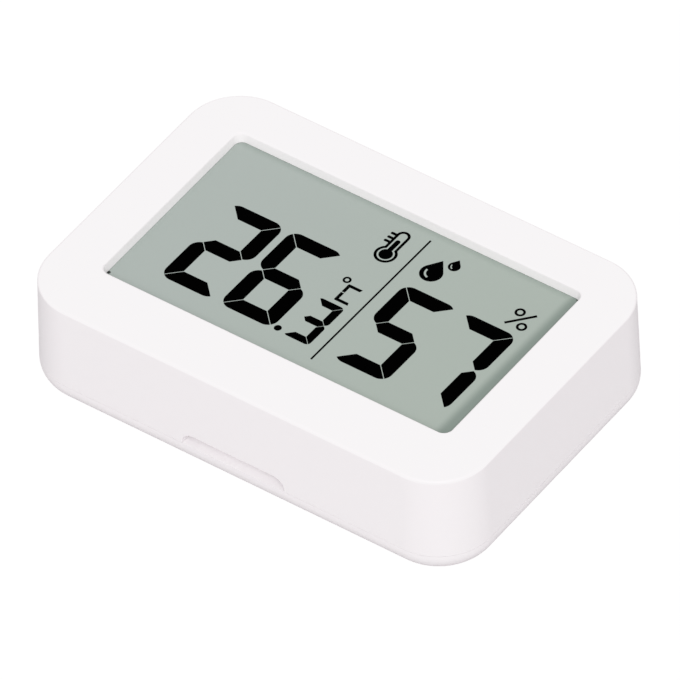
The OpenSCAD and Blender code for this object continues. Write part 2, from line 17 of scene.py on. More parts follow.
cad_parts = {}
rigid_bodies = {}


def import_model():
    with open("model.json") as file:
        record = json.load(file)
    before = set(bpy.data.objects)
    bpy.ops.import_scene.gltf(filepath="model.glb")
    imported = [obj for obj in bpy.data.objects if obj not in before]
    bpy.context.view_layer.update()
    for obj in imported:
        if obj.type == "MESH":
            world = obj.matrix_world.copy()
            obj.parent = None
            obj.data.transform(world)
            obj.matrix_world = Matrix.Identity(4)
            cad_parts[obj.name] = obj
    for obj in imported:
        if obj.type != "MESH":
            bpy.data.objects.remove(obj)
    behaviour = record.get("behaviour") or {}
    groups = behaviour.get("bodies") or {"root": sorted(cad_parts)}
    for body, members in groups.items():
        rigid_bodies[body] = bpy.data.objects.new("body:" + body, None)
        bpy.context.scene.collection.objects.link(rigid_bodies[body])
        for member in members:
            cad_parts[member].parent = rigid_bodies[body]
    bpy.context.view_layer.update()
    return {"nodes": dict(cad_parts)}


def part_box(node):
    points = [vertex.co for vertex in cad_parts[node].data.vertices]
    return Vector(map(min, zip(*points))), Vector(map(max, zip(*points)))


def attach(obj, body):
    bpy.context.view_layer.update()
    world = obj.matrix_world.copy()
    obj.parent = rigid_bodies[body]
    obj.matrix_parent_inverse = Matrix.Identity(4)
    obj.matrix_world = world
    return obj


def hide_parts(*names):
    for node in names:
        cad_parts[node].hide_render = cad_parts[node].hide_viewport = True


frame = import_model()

LOG = logging.getLogger("sensor")
MM = 0.001
# Distance within which a point counts as lying on a line, and below which points are merged
TOUCH = 0.02
MERGE = 0.0005
# Half of the flat that a round head keeps, so short that its ends merge
HEAD_FLAT = MERGE / 4
# Angles between faces that stay one smooth surface, and between faces that count as one flat side
SMOOTH_ANGLE = math.radians(32)
FLAT_ANGLE = math.radians(0.5)
# Least Z of a normal that counts as upright
UPRIGHT = 0.999
# Steps of a rounded corner, of a rounded edge, of a very small one and of a full circle
CORNER_STEPS = 28
EDGE_STEPS = 6
FINE_STEPS = 3
ROUND_STEPS = 64
# Steps of a rounded corner and of a full circle in the print
PRINT_CORNER_STEPS = 12
PRINT_ROUND_STEPS = 48
# Height by which two rims are kept apart while they are bridged
APART = 1.0
# Length by which a cutter reaches past what it cuts
SPARE = 1.0

Colour = tuple[float, float, float]
Flat = tuple[float, float]
Point = tuple[float, float, float]
# A point of an upright plane, and the direction in which it cuts away
Cut = tuple[Flat, Flat]

BLACK: Colour = (0.0, 0.0, 0.0)
WHITE: Colour = (1.0, 1.0, 1.0)


class Body(Enum):
    """CAD bodies that the new pieces ride on."""

    COVER = "cover"
    CASE = "case"
    KEY = "key"


class Slot(Enum):
    """Material slots of the record."""

    SHELL = "white_shell"
    SEGMENTS = "display_segments"


class Kind(Enum):
    """Elements of a mesh that a selection is made of."""

    VERT = "VERT"
    EDGE = "EDGE"
    FACE = "FACE"


class Carve(Enum):
    """Ways in which one solid changes another."""

    ADD = "UNION"
    CUT = "DIFFERENCE"


class Bar(Enum):
    """Bars of a seven-segment digit."""

    TOP = "top"
    UPPER_RIGHT = "upper_right"
    LOWER_RIGHT = "lower_right"
    BOTTOM = "bottom"
    LOWER_LEFT = "lower_left"
    UPPER_LEFT = "upper_left"
    MIDDLE = "middle"


DIGIT_BARS: dict[int, tuple[Bar, ...]] = {
    2: (Bar.TOP, Bar.UPPER_RIGHT, Bar.MIDDLE, Bar.LOWER_LEFT, Bar.BOTTOM),
    3: (Bar.TOP, Bar.UPPER_RIGHT, Bar.MIDDLE, Bar.LOWER_RIGHT, Bar.BOTTOM),
    5: (Bar.TOP, Bar.UPPER_LEFT, Bar.MIDDLE, Bar.LOWER_RIGHT, Bar.BOTTOM),
    6: (Bar.TOP, Bar.UPPER_LEFT, Bar.MIDDLE, Bar.LOWER_LEFT, Bar.LOWER_RIGHT, Bar.BOTTOM),
    7: (Bar.TOP, Bar.UPPER_RIGHT, Bar.LOWER_RIGHT),
}


# Node trees and finishes


class Tree:
    """Adds and joins the nodes of one node tree."""

    def __init__(self, nodes: bpy.types.NodeTree) -> None:
        """Keeps the tree to work on."""
        self.nodes = nodes

    def add(self, kind: str, settings: dict | None = None, inputs: dict | None = None) -> bpy.types.Node:
        """Adds one node.

        Args:
            kind: Type name of the node.
            settings: Properties of the node.
            inputs: Values of its input sockets, by name or number; a socket is joined.
        Returns:
            The new node.
        """
        node = self.nodes.nodes.new(kind)
        for name, value in (settings or {}).items():
            setattr(node, name, value)
        self.feed(node, inputs or {})
        return node

    def feed(self, node: bpy.types.Node, inputs: dict) -> None:
        """Sets input sockets of a node.

        Args:
            node: The node.
            inputs: Values of its input sockets, by name or number; a socket is joined.
        """
        for name, value in inputs.items():
            if isinstance(value, bpy.types.NodeSocket):
                self.nodes.links.new(value, node.inputs[name])
            else:
                node.inputs[name].default_value = value

    def math(self, operation: str, *values: object) -> bpy.types.NodeSocket:
        """Adds a Math node and gives its output."""
        node = self.add("ShaderNodeMath", {"operation": operation}, dict(enumerate(values)))
        return node.outputs[0]

    def ramp(self, value: bpy.types.NodeSocket, start: float, end: float) -> bpy.types.NodeSocket:
        """Gives a smooth mask that rises from 0 to 1 between two values."""
        node = self.add("ShaderNodeMapRange", {"interpolation_type": "SMOOTHSTEP"},
                        {"Value": value, "From Min": start, "From Max": end})
        return node.outputs["Result"]

    def mix(self, mask: object, below: object, above: object) -> bpy.types.NodeSocket:
        """Mixes two colours by a mask.

        Args:
            mask: Share of the second colour.
            below: First colour.
            above: Second colour.
        Returns:
            The mixed colour.
        """
        first, second = ((*c, 1.0) if isinstance(c, tuple) else c for c in (below, above))
        node = self.add("ShaderNodeMix", {"data_type": "RGBA"}, {0: mask, 6: first, 7: second})
        return node.outputs[2]

    def place(self, middle: Point = (0.0, 0.0, 0.0),
              stretch: Point = (1.0, 1.0, 1.0)) -> bpy.types.NodeSocket:
        """Gives Object coordinates about a point, stretched along the axes.

        Args:
            middle: Point in metres that they start from.
            stretch: Factor of each axis.
        Returns:
            The coordinates.
        """
        coords = self.add("ShaderNodeTexCoord").outputs["Object"]
        moved = self.add("ShaderNodeVectorMath", {"operation": "SUBTRACT"}, {0: coords, 1: middle}).outputs[0]
        return self.add("ShaderNodeVectorMath", {"operation": "MULTIPLY"}, {0: moved, 1: stretch}).outputs[0]

    def distance(self, middle: Point) -> bpy.types.NodeSocket:
        """Gives the distance from an upright axis through a point."""
        flat = self.place(middle, (1.0, 1.0, 0.0))
        return self.add("ShaderNodeVectorMath", {"operation": "LENGTH"}, {0: flat}).outputs["Value"]

    def axes(self) -> tuple[bpy.types.NodeSocket, ...]:
        """Takes the Object coordinates apart.

        Returns:
            Their X, Y and Z.
        """
        coords = self.add("ShaderNodeTexCoord").outputs["Object"]
        parts = self.add("ShaderNodeSeparateXYZ", None, {"Vector": coords})
        return tuple(parts.outputs)


class Effects:
    """Node groups that more than one finish uses."""

    GRAIN = "fine_grain"
    MOTTLE = "soft_mottle"
    # Scale of the broad waves beside the fine grain, and the range that most of a noise lies in
    BROAD = 0.04
    SPAN = (0.3, 0.7)

    @staticmethod
    def open_group(name: str, inputs: Iterable[tuple[str, str]], outputs: Iterable[tuple[str, str]]) -> Tree:
        """Starts a shader node group.

        Args:
            name: Name of the group.
            inputs: Name and socket type of each input.
            outputs: Name and socket type of each output.
        Returns:
            Its tree, which holds an input and an output node.
        """
        group = bpy.data.node_groups.new(name, "ShaderNodeTree")
        for way, sockets in (("INPUT", inputs), ("OUTPUT", outputs)):
            for label, kind in sockets:
                group.interface.new_socket(label, in_out=way, socket_type=kind)
        tree = Tree(group)
        tree.add("NodeGroupInput")
        tree.add("NodeGroupOutput")
        return tree

    @classmethod
    def fine_grain(cls) -> bpy.types.NodeTree:
        """Builds the group for the grain of a surface at its first use.

        Returns:
            The group, which gives a height and a roughness between two values.
        """
        if cls.GRAIN in bpy.data.node_groups:
            return bpy.data.node_groups[cls.GRAIN]
        floats = [(name, "NodeSocketFloat") for name in ("Scale", "Smooth", "Rough")]
        tree = cls.open_group(cls.GRAIN, floats, [(n, "NodeSocketFloat") for n in ("Roughness", "Height")])
        source, target = tree.nodes.nodes[0], tree.nodes.nodes[1]
        noise = tree.add("ShaderNodeTexNoise", None,
                         {"Vector": tree.place(), "Scale": source.outputs["Scale"], "Detail": 3.0})
        wide = tree.math("MULTIPLY", source.outputs["Scale"], cls.BROAD)
        broad = tree.add("ShaderNodeTexNoise", None, {"Vector": tree.place(), "Scale": wide, "Detail": 2.0})
        both = tree.math("MULTIPLY_ADD", broad.outputs[0], 0.5, tree.math("MULTIPLY", noise.outputs[0], 0.5))
        rough = tree.add("ShaderNodeMapRange", None, {
            "Value": both, "From Min": cls.SPAN[0], "From Max": cls.SPAN[1],
            "To Min": source.outputs["Smooth"], "To Max": source.outputs["Rough"]})
        tree.feed(target, {"Roughness": rough.outputs["Result"], "Height": noise.outputs[0]})
        return tree.nodes

    @classmethod
    def soft_mottle(cls) -> bpy.types.NodeTree:
        """Builds the group that varies a colour slightly over the surface, at its first use.

        Returns:
            The group.
        """
        if cls.MOTTLE in bpy.data.node_groups:
            return bpy.data.node_groups[cls.MOTTLE]
        inputs = [("Color", "NodeSocketColor"), ("Scale", "NodeSocketFloat"), ("Amount", "NodeSocketFloat")]
        tree = cls.open_group(cls.MOTTLE, inputs, [("Color", "NodeSocketColor")])
        source, target = tree.nodes.nodes[0], tree.nodes.nodes[1]
        noise = tree.add("ShaderNodeTexNoise", None,
                         {"Vector": tree.place(), "Scale": source.outputs["Scale"], "Detail": 4.0})
        off = tree.math("SUBTRACT", noise.outputs[0], 0.5)
        swing = tree.math("MULTIPLY_ADD", off, source.outputs["Amount"], 1.0)
        toned = tree.add("ShaderNodeHueSaturation", None, {"Value": swing, "Color": source.outputs["Color"]})
        tree.feed(target, {"Color": toned.outputs[0]})
        return tree.nodes


@dataclass(frozen=True)
class Finish:
    """A finish with fine grain and a slight change of tone. Grain and tone are counted per metre."""

    name: str
    colour: Colour
    smooth: float = 0.4
    rough: float = 0.5
    grain: float = 3000.0
    relief: float = 3e-6
    tone: float = 60.0
    mottle: float = 0.03
    metallic: float = 0.0
    specular: float = 0.5

    def colours(self, tree: Tree) -> object:
        """Gives the colour before it is mottled: a socket, or one colour all over."""
        return (*self.colour, 1.0)

    def heights(self, tree: Tree, grain: bpy.types.NodeSocket) -> bpy.types.NodeSocket:
        """Gives the height that the relief follows."""
        return grain

    def constants(self, shader: bpy.types.Node) -> None:
        """Sets what is the same all over the surface."""
        shader.inputs["Metallic"].default_value = self.metallic
        shader.inputs["Specular IOR Level"].default_value = self.specular

    def material(self) -> bpy.types.Material:
        """Builds the material at its first use.

        Returns:
            The material.
        """
        label = f"{self.name}_finish"
        if label in bpy.data.materials:
            return bpy.data.materials[label]
        made = bpy.data.materials.new(label)
        made.use_nodes = True
        made.diffuse_color = (*self.colour, 1.0)
        tree = Tree(made.node_tree)
        shader = made.node_tree.nodes["Principled BSDF"]
        mottle = tree.add("ShaderNodeGroup", {"node_tree": Effects.soft_mottle()},
                          {"Color": self.colours(tree), "Scale": self.tone, "Amount": self.mottle})
        grain = tree.add("ShaderNodeGroup", {"node_tree": Effects.fine_grain()},
                         {"Scale": self.grain, "Smooth": self.smooth, "Rough": self.rough})
        bump = tree.add("ShaderNodeBump", None, {
            "Strength": 1.0, "Distance": self.relief, "Height": self.heights(tree, grain.outputs["Height"])})
        tree.feed(shader, {"Base Color": mottle.outputs["Color"], "Roughness": grain.outputs["Roughness"],
                           "Normal": bump.outputs["Normal"]})
        self.constants(shader)
        return made


@dataclass(frozen=True)
class FloorFinish(Finish):
    """Pale paint that shows the camera one even white. It is clear from below and under the sensor's foot."""

    glow: float = 1.16
    foot_half: Flat = (0.0232, 0.0136)
    foot_corner: float = 0.0044

    def material(self) -> bpy.types.Material:
        """Builds the material with its even white and its clear parts.

        Returns:
            The material.
        """
        made = super().material()
        tree = Tree(made.node_tree)
        shader = made.node_tree.nodes["Principled BSDF"]
        paint = shader.inputs["Base Color"].links[0].from_socket
        seen = tree.add("ShaderNodeLightPath").outputs["Is Camera Ray"]
        past = [tree.math("MAXIMUM", tree.math("SUBTRACT", tree.math("ABSOLUTE", value), half), 0.0)
                for value, half in zip(tree.axes(), self.foot_half)]
        reach = tree.math("SQRT", tree.math("ADD", *(tree.math("MULTIPLY", value, value) for value in past)))
        under = tree.math("LESS_THAN", reach, self.foot_corner)
        below = tree.add("ShaderNodeNewGeometry").outputs["Backfacing"]
        solid = tree.math("SUBTRACT", 1.0, tree.math("MAXIMUM", under, below))
        tree.feed(shader, {"Base Color": tree.mix(seen, paint, BLACK), "Emission Strength": self.glow,
                           "Emission Color": tree.mix(seen, BLACK, WHITE), "Alpha": solid})
        return made


@dataclass(frozen=True)
class FilmFinish(Finish):
    """Grey-green display film, greener to the right. Its painted shade is the shadow of the window's walls
    along its right and upper borders, and the shade of the dark gaps under the walls at two corners.
    """

    far: Colour = (0.4, 0.46, 0.414)
    # Colour of the painted shadow that the window's walls cast along the right and upper borders
    shade: Colour = (0.25, 0.305, 0.27)
    # Colour of the painted shade in the dark gaps under the walls at two corners
    gap_shade: Colour = (0.02, 0.025, 0.02)
    spread: float = 0.02
    # Start and end, along X, of the painted shadow of the window's right wall, which leans with the wall
    right: Flat = (0.0212, 0.0225)
    # Start and end, along Y, of the fainter painted shade under the window's upper wall, and its share
    upper: Flat = (0.0132, 0.0144)
    faint: float = 0.45
    lean: float = 0.016
    # Middle and radius, in metres, of the painted shade in each corner gap
    gap_shades: tuple[Point, ...] = ((-0.02342, -0.01123, 0.0003), (0.02294, 0.0142, 0.0002))

    def colours(self, tree: Tree) -> object:
        """Gives the colour of the film with its painted shade along the right and upper borders and in two
        corner gaps.

        Args:
            tree: Tree of the material.
        Returns:
            The colour.
        """
        x, y, _ = tree.axes()
        # Painted shade: the shadow of the right wall, leaning with it, and a fainter band under the upper
        # wall
        across = tree.math("MULTIPLY_ADD", y, -self.lean, x)
        upper = tree.math("MULTIPLY", tree.ramp(y, *self.upper), self.faint)
        wall_shade_mask = tree.math("MAXIMUM", tree.ramp(across, *self.right), upper)
        plain = tree.mix(tree.ramp(x, -self.spread, self.spread), self.colour, self.far)
        colour = tree.mix(wall_shade_mask, plain, self.shade)
        # Painted shade in the dark gaps at two corners
        for at_x, at_y, radius in self.gap_shades:
            near = tree.math("MULTIPLY", tree.distance((at_x, at_y, 0.0)), -1.0)
            colour = tree.mix(tree.ramp(near, -radius, -radius / 2), colour, self.gap_shade)
        return colour


@dataclass(frozen=True)
class GlassFinish(Finish):
    """Thin clear glass with a green cast."""

    ior: float = 1.5

    def constants(self, shader: bpy.types.Node) -> None:
        """Sets the gloss and makes the glass clear.

        Args:
            shader: Shader of the material.
        """
        super().constants(shader)
        shader.inputs["Transmission Weight"].default_value = 1.0
        shader.inputs["IOR"].default_value = self.ior


@dataclass(frozen=True)
class BrushedFinish(Finish):
    """Rolled sheet metal with fine lines along one axis."""

    lines: Point = (1.0, 1.0, 1.0)

    def heights(self, tree: Tree, grain: bpy.types.NodeSocket) -> bpy.types.NodeSocket:
        """Gives the rolled lines."""
        noise = tree.add("ShaderNodeTexNoise", None,
                         {"Vector": tree.place(stretch=self.lines), "Scale": self.grain, "Detail": 3.0})
        return noise.outputs[0]


@dataclass(frozen=True)
class TurnedFinish(Finish):
    """Plated metal with turning marks round an upright axis."""

    middle: Point = (0.0, 0.0, 0.0)
    pitch: float = 0.00012
    ring_share: float = 0.3

    def heights(self, tree: Tree, grain: bpy.types.NodeSocket) -> bpy.types.NodeSocket:
        """Gives rings round the axis, roughened by the grain.

        Args:
            tree: Tree of the material.
            grain: Height of the grain.
        Returns:
            The height of both.
        """
        turns = tree.math("MULTIPLY", tree.distance(self.middle), 2 * math.pi / self.pitch)
        return tree.math("MULTIPLY_ADD", tree.math("SINE", turns), self.ring_share, grain)


@dataclass(frozen=True)
class StripedFinish(Finish):
    """Rubber strip with thin conductive layers across its length."""

    layer: Colour = (0.02, 0.02, 0.02)
    pitch: float = 0.0004
    blur: float = 0.2

    def colours(self, tree: Tree) -> object:
        """Gives the layers.

        Args:
            tree: Tree of the material.
        Returns:
            The colour.
        """
        x = tree.axes()[0]
        wave = tree.math("SINE", tree.math("MULTIPLY", x, 2 * math.pi / self.pitch))
        return tree.mix(tree.ramp(wave, -self.blur, self.blur), self.colour, self.layer)


@dataclass(frozen=True)
class CappedFinish(Finish):
    """Small components of one length in a row along X, with tinned ends."""

    ends: Colour = (0.72, 0.72, 0.73)
    middle_x: float = 0.0
    pitch: float = 1.0
    plain_half: float = 0.0005

    def colours(self, tree: Tree) -> object:
        """Gives the body with its two ends.

        Args:
            tree: Tree of the material.
        Returns:
            The colour.
        """
        x = tree.axes()[0]
        step = tree.math("MULTIPLY_ADD", x, 1 / self.pitch, 0.5 - self.middle_x / self.pitch)
        off = tree.math("ABSOLUTE", tree.math("SUBTRACT", tree.math("FRACT", step), 0.5))
        mask = tree.math("GREATER_THAN", off, self.plain_half / self.pitch)
        return tree.mix(mask, self.colour, self.ends)


@dataclass(frozen=True)
class BoardFinish(Finish):
    """Green solder mask with copper tracks under it and small tinned holes."""

    track: Colour = (0.05, 0.33, 0.16)
    tinned: Colour = (0.75, 0.66, 0.4)
    track_pitch: float = 0.0013
    track_edge: Flat = (0.35, 0.55)
    bend_scale: float = 90.0
    bend: float = 0.01
    hole_scale: float = 230.0
    hole: float = 0.07

    def colours(self, tree: Tree) -> object:
        """Gives the mask, the tracks and the holes.

        Args:
            tree: Tree of the material.
        Returns:
            The colour.
        """
        coords = tree.place()
        turns = tree.add("ShaderNodeTexVoronoi", {"distance": "MANHATTAN"},
                         {"Vector": coords, "Scale": self.bend_scale})
        x, y, _ = tree.axes()
        bent = tree.math("MULTIPLY_ADD", turns.outputs["Distance"], self.bend, tree.math("ADD", x, y))
        wave = tree.math("SINE", tree.math("MULTIPLY", bent, 2 * math.pi / self.track_pitch))
        tracks = tree.mix(tree.ramp(wave, *self.track_edge), self.colour, self.track)
        holes = tree.add("ShaderNodeTexVoronoi", None, {"Vector": coords, "Scale": self.hole_scale})
        mask = tree.math("LESS_THAN", holes.outputs["Distance"], self.hole)
        return tree.mix(mask, tracks, self.tinned)


# Modelling bench


@dataclass(frozen=True)
class Outline:
    """A rounded rectangle in plan, in millimetres."""

    width: float
    height: float
    radius: float
    middle_y: float = 0.0

    def grown(self, by: float) -> "Outline":
        """Gives the outline at a distance outside this one."""
        return Outline(self.width + 2 * by, self.height + 2 * by, self.radius + by, self.middle_y)

    def carries(self, point: Vector) -> bool:
        """Tells whether a point lies on the outline, seen from above.

        Args:
            point: The point, at any height.
        Returns:
            True if it does.
        """
        across = abs(point.x) - self.width / 2 + self.radius
        along = abs(point.y - self.middle_y) - self.height / 2 + self.radius
        away = math.hypot(max(across, 0), max(along, 0)) + min(max(across, along), 0)
        return abs(away - self.radius) < TOUCH


@dataclass(frozen=True)
class Strip:
    """A flat strip of the display's print: a rectangle with rounded corners and cut sides, in millimetres."""

    low: Flat
    high: Flat
    rounded: tuple[Flat, ...] = ()
    corner: float = 0.0
    cuts: tuple[Cut, ...] = ()

    def mapped(self, across: bool, upright: bool, size: Flat) -> "Strip":
        """Mirrors the strip in a cell.

        Args:
            across: Mirror left and right.
            upright: Mirror top and bottom.
            size: Width and height of the cell.
        Returns:
            The mirrored strip.
        """
        def point(p: Flat) -> Flat:
            """Mirrors a point."""
            return (size[0] - p[0] if across else p[0], size[1] - p[1] if upright else p[1])

        def heading(p: Flat) -> Flat:
            """Mirrors a direction."""
            return (-p[0] if across else p[0], -p[1] if upright else p[1])

        a, b = point(self.low), point(self.high)
        return Strip((min(a[0], b[0]), min(a[1], b[1])), (max(a[0], b[0]), max(a[1], b[1])),
                     tuple(point(p) for p in self.rounded), self.corner,
                     tuple((point(p), heading(n)) for p, n in self.cuts))

    def grown(self, by: float) -> "Strip":
        """Moves all sides of the strip outwards.

        Args:
            by: How far each side moves.
        Returns:
            The larger strip.
        """
        def corner(p: Flat) -> Flat:
            """Moves a corner."""
            return tuple(p[i] + (by if p[i] > (self.low[i] + self.high[i]) / 2 else -by) for i in (0, 1))

        def side(p: Flat, away: Flat) -> Flat:
            """Moves a point of a cut side."""
            return tuple(p[i] + by * away[i] / math.hypot(*away) for i in (0, 1))

        return Strip(corner(self.low), corner(self.high), tuple(corner(p) for p in self.rounded),
                     self.corner + by, tuple((side(p, n), n) for p, n in self.cuts))

    def moved(self, by: Flat) -> "Strip":
        """Moves the strip.

        Args:
            by: Way along X and Y.
        Returns:
            The strip in its new place.
        """
        def point(p: Flat) -> Flat:
            """Moves a point."""
            return (p[0] + by[0], p[1] + by[1])

        return Strip(point(self.low), point(self.high), tuple(point(p) for p in self.rounded), self.corner,
                     tuple((point(p), n) for p, n in self.cuts))


@dataclass
class Workpiece:
    """A mesh on the bench, shaped in edit mode in millimetres."""

    obj: bpy.types.Object

    @classmethod
    def start(cls, name: str) -> "Workpiece":
        """Opens an empty piece in edit mode.

        Args:
            name: Name of the piece.
        Returns:
            The piece.
        """
        obj = bpy.data.objects.new(name, bpy.data.meshes.new(name))
        bpy.context.scene.collection.objects.link(obj)
        work = cls(obj)
        work.reopen()
        work.clear()
        return work

    def activate(self) -> None:
        """Makes the piece the only selected object."""
        bpy.ops.object.select_all(action="DESELECT")
        bpy.context.view_layer.objects.active = self.obj
        self.obj.select_set(True)

    def reopen(self) -> None:
        """Takes the piece to edit mode."""
        self.activate()
        bpy.ops.object.mode_set(mode="EDIT")

    def clear(self, kind: Kind = Kind.VERT) -> None:
        """Selects nothing, ready to select one kind of element."""
        bpy.ops.mesh.select_mode(type=kind.value)
        bpy.ops.mesh.select_all(action="DESELECT")

    def pick(self, kind: Kind, test: Callable[[list[Vector], Vector], bool]) -> None:
        """Selects the elements that pass a test, and nothing else.

        Args:
            kind: Element to select.
            test: Takes the points of an element, and its normal or an edge's direction.
        """
        self.clear(kind)
        mesh = bmesh.from_edit_mesh(self.obj.data)
        if kind is Kind.VERT:
            items = [(v, [v.co], v.normal) for v in mesh.verts]
        elif kind is Kind.EDGE:
            items = [(e, [v.co for v in e.verts], e.verts[1].co - e.verts[0].co) for e in mesh.edges]
        else:
            items = [(f, [v.co for v in f.verts], f.normal) for f in mesh.faces]
        for item, points, heading in items:
            if test(points, heading):
                item.select_set(True)
        bmesh.update_edit_mesh(self.obj.data)

    def pick_rims(self, *rims: tuple[Outline, float]) -> None:
        """Selects the edges that run along outlines at their heights."""
        self.pick(Kind.EDGE, lambda points, _: any(
            all(abs(p.z - z) < TOUCH and outline.carries(p) for p in points) for outline, z in rims))

    def pick_circle(self, middle: Flat, radius: float, z: float) -> None:
        """Selects the edges of a level circle."""
        self.pick(Kind.EDGE, lambda points, _: all(
            abs(p.z - z) < TOUCH and abs(math.dist(p.xy, middle) - radius) < TOUCH for p in points))

    def pick_level(self, z: float) -> None:
        """Selects the faces that lie at a height."""
        self.pick(Kind.FACE, lambda points, _: all(abs(p.z - z) < TOUCH for p in points))

    def rectangle(self, low: Flat, high: Flat, z: float) -> None:
        """Adds a flat rectangle, which stays selected.

        Args:
            low: Its lower left corner.
            high: Its upper right corner.
            z: Its height.
        """
        middle = ((low[0] + high[0]) / 2, (low[1] + high[1]) / 2, z)
        self.clear()
        bpy.ops.mesh.primitive_plane_add(size=1, location=middle)
        bpy.ops.transform.resize(value=(high[0] - low[0], high[1] - low[1], 1), center_override=middle)

    def plate(self, outline: Outline, z: float) -> None:
        """Adds a flat rounded rectangle, which stays selected.

        Args:
            outline: Its outline.
            z: Its height.
        """
        across, along = outline.width / 2, outline.height / 2
        self.rectangle((-across, outline.middle_y - along), (across, outline.middle_y + along), z)
        bpy.ops.mesh.bevel(offset=outline.radius, segments=CORNER_STEPS, affect="VERTICES")

    def rim(self, outline: Outline, z: float) -> None:
        """Adds the bare edge of a flat rounded rectangle."""
        self.plate(outline, z)
        bpy.ops.mesh.delete(type="ONLY_FACE")

    def join_rims(self, first: tuple[Outline, float], second: tuple[Outline, float]) -> None:
        """Bridges two rims at different heights, of the same number of points."""
        self.pick_rims(first, second)
        bpy.ops.mesh.bridge_edge_loops()

    def bridge(self, still: tuple[Outline, float], loose: Outline, off: float) -> None:
        """Bridges a rim to one that lies off its height, and brings that one to the height.

        Args:
            still: Outline and height of the rim that stays.
            loose: Outline of the other rim, of the same number of points.
            off: How far the other rim lies above it. Rims in one plane could be bridged crosswise.
        """
        level = still[1]
        self.join_rims(still, (loose, level + off))
        self.pick_rims((loose, level + off))
        bpy.ops.transform.translate(value=(0, 0, -off))

    def block(self, low: Point, high: Point) -> None:
        """Adds a box, which stays selected.

        Args:
            low: Corner with the least of each coordinate.
            high: Corner with the most of each.
        """
        middle = tuple((a + b) / 2 for a, b in zip(low, high))
        self.clear()
        bpy.ops.mesh.primitive_cube_add(size=1, location=middle)
        bpy.ops.transform.resize(value=tuple(b - a for a, b in zip(low, high)), center_override=middle)

    def disc(self, middle: Flat, radius: float, z: float, steps: int = ROUND_STEPS) -> None:
        """Adds a flat disc, which stays selected.

        Args:
            middle: Its middle, seen from above.
            radius: Its radius.
            z: Its height.
            steps: Number of points on its edge.
        """
        self.clear()
        bpy.ops.mesh.primitive_circle_add(vertices=steps, radius=radius, fill_type="NGON",
                                          location=(*middle, z))

    def lift(self, height: float) -> None:
        """Extrudes the selection along Z."""
        bpy.ops.mesh.extrude_region_move(TRANSFORM_OT_translate={"value": (0, 0, height)})

    def copy(self, way: Point) -> None:
        """Copies the selection and leaves the copy selected."""
        bpy.ops.mesh.duplicate_move(TRANSFORM_OT_translate={"value": way})

    def round_edges(self, offset: float, steps: int = EDGE_STEPS) -> None:
        """Rounds the selected edges."""
        bpy.ops.mesh.bevel(offset=offset, segments=steps, profile=0.5, affect="EDGES", clamp_overlap=False)

    def cut_island(self, cuts: Iterable[Cut], z: float) -> None:
        """Cuts the selected island along upright planes and leaves the rest of it selected.

        Args:
            cuts: The planes.
            z: Height of the island.
        """
        for point, away in cuts:
            bpy.ops.mesh.select_linked()
            bpy.ops.mesh.bisect(plane_co=(*point, z), plane_no=(*away, 0), clear_outer=True)
        bpy.ops.mesh.select_linked()

    def close(self) -> "Workpiece":
        """Merges doubles, turns the faces outwards and leaves edit mode.

        Returns:
            The piece itself.
        """
        bpy.ops.mesh.select_all(action="SELECT")
        bpy.ops.mesh.remove_doubles(threshold=MERGE)
        bpy.ops.mesh.normals_make_consistent(inside=False)
        bpy.ops.object.mode_set(mode="OBJECT")
        return self

    def carve(self, tool: "Workpiece", way: Carve) -> None:
        """Adds a closed solid to the closed piece, or cuts it out.

        Args:
            tool: The solid, which is used up.
            way: Whether it is added or cut out.
        """
        self.activate()
        change = self.obj.modifiers.new("carve", "BOOLEAN")
        change.operation = way.value
        change.solver = "EXACT"
        change.object = tool.obj
        bpy.ops.object.modifier_apply(modifier=change.name)
        bpy.data.objects.remove(tool.obj)

    def clean(self) -> None:
        """Takes needless points and lines out of the flat sides of the closed piece."""
        self.reopen()
        bpy.ops.mesh.select_all(action="SELECT")
        bpy.ops.mesh.dissolve_limited(angle_limit=FLAT_ANGLE)
        self.close()

    def join(self, other: "Workpiece") -> None:
        """Makes another closed piece one object with this one.

        Args:
            other: The piece, which is used up.
        """
        self.activate()
        other.obj.select_set(True)
        bpy.ops.object.join()

    def deliver(self, finish: Finish, body: Body, slot: Slot,
                stands_for: str | None = None) -> bpy.types.Object:
        """Brings the closed piece to metres, dresses it and puts it on its body.

        Args:
            finish: Finish of the whole piece.
            body: CAD body that it rides on.
            slot: Slot of the record; not used.
            stands_for: CAD node that it replaces, if any.
        Returns:
            The finished object.
        """
        self.activate()
        self.obj.data.transform(Matrix.Scale(MM, 4))
        bpy.ops.object.shade_smooth_by_angle(angle=SMOOTH_ANGLE)
        even = self.obj.modifiers.new("even_normals", "WEIGHTED_NORMAL")
        even.keep_sharp = True
        bpy.ops.object.modifier_apply(modifier=even.name)
        self.obj.data.materials.clear()
        self.obj.data.materials.append(finish.material())
        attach(self.obj, body.value)
        if stands_for:
            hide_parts(stands_for)
        return self.obj


# Sub-assemblies, with their sizes in millimetres


@dataclass
class CaseForm:
    """Sizes that the two shells and the key share."""

    width: float = 60.6
    height: float = 41.4
    thickness: float = 14.5
    draft: float = math.radians(1.3)
    corner: float = 7.1
    wall: float = 1.8
    seam: float = 3.0
    seam_gap: float = 0.04
    key_at: Flat = (17.97, -7.97)

    def outline(self, z: float) -> Outline:
        """Gives the outside of the leaning walls at a height."""
        return Outline(self.width, self.height, self.corner).grown(-z * math.tan(self.draft))

    def hollow(self) -> Outline:
        """Gives the straight hollow behind the face."""
        return self.outline(self.thickness).grown(-self.wall)


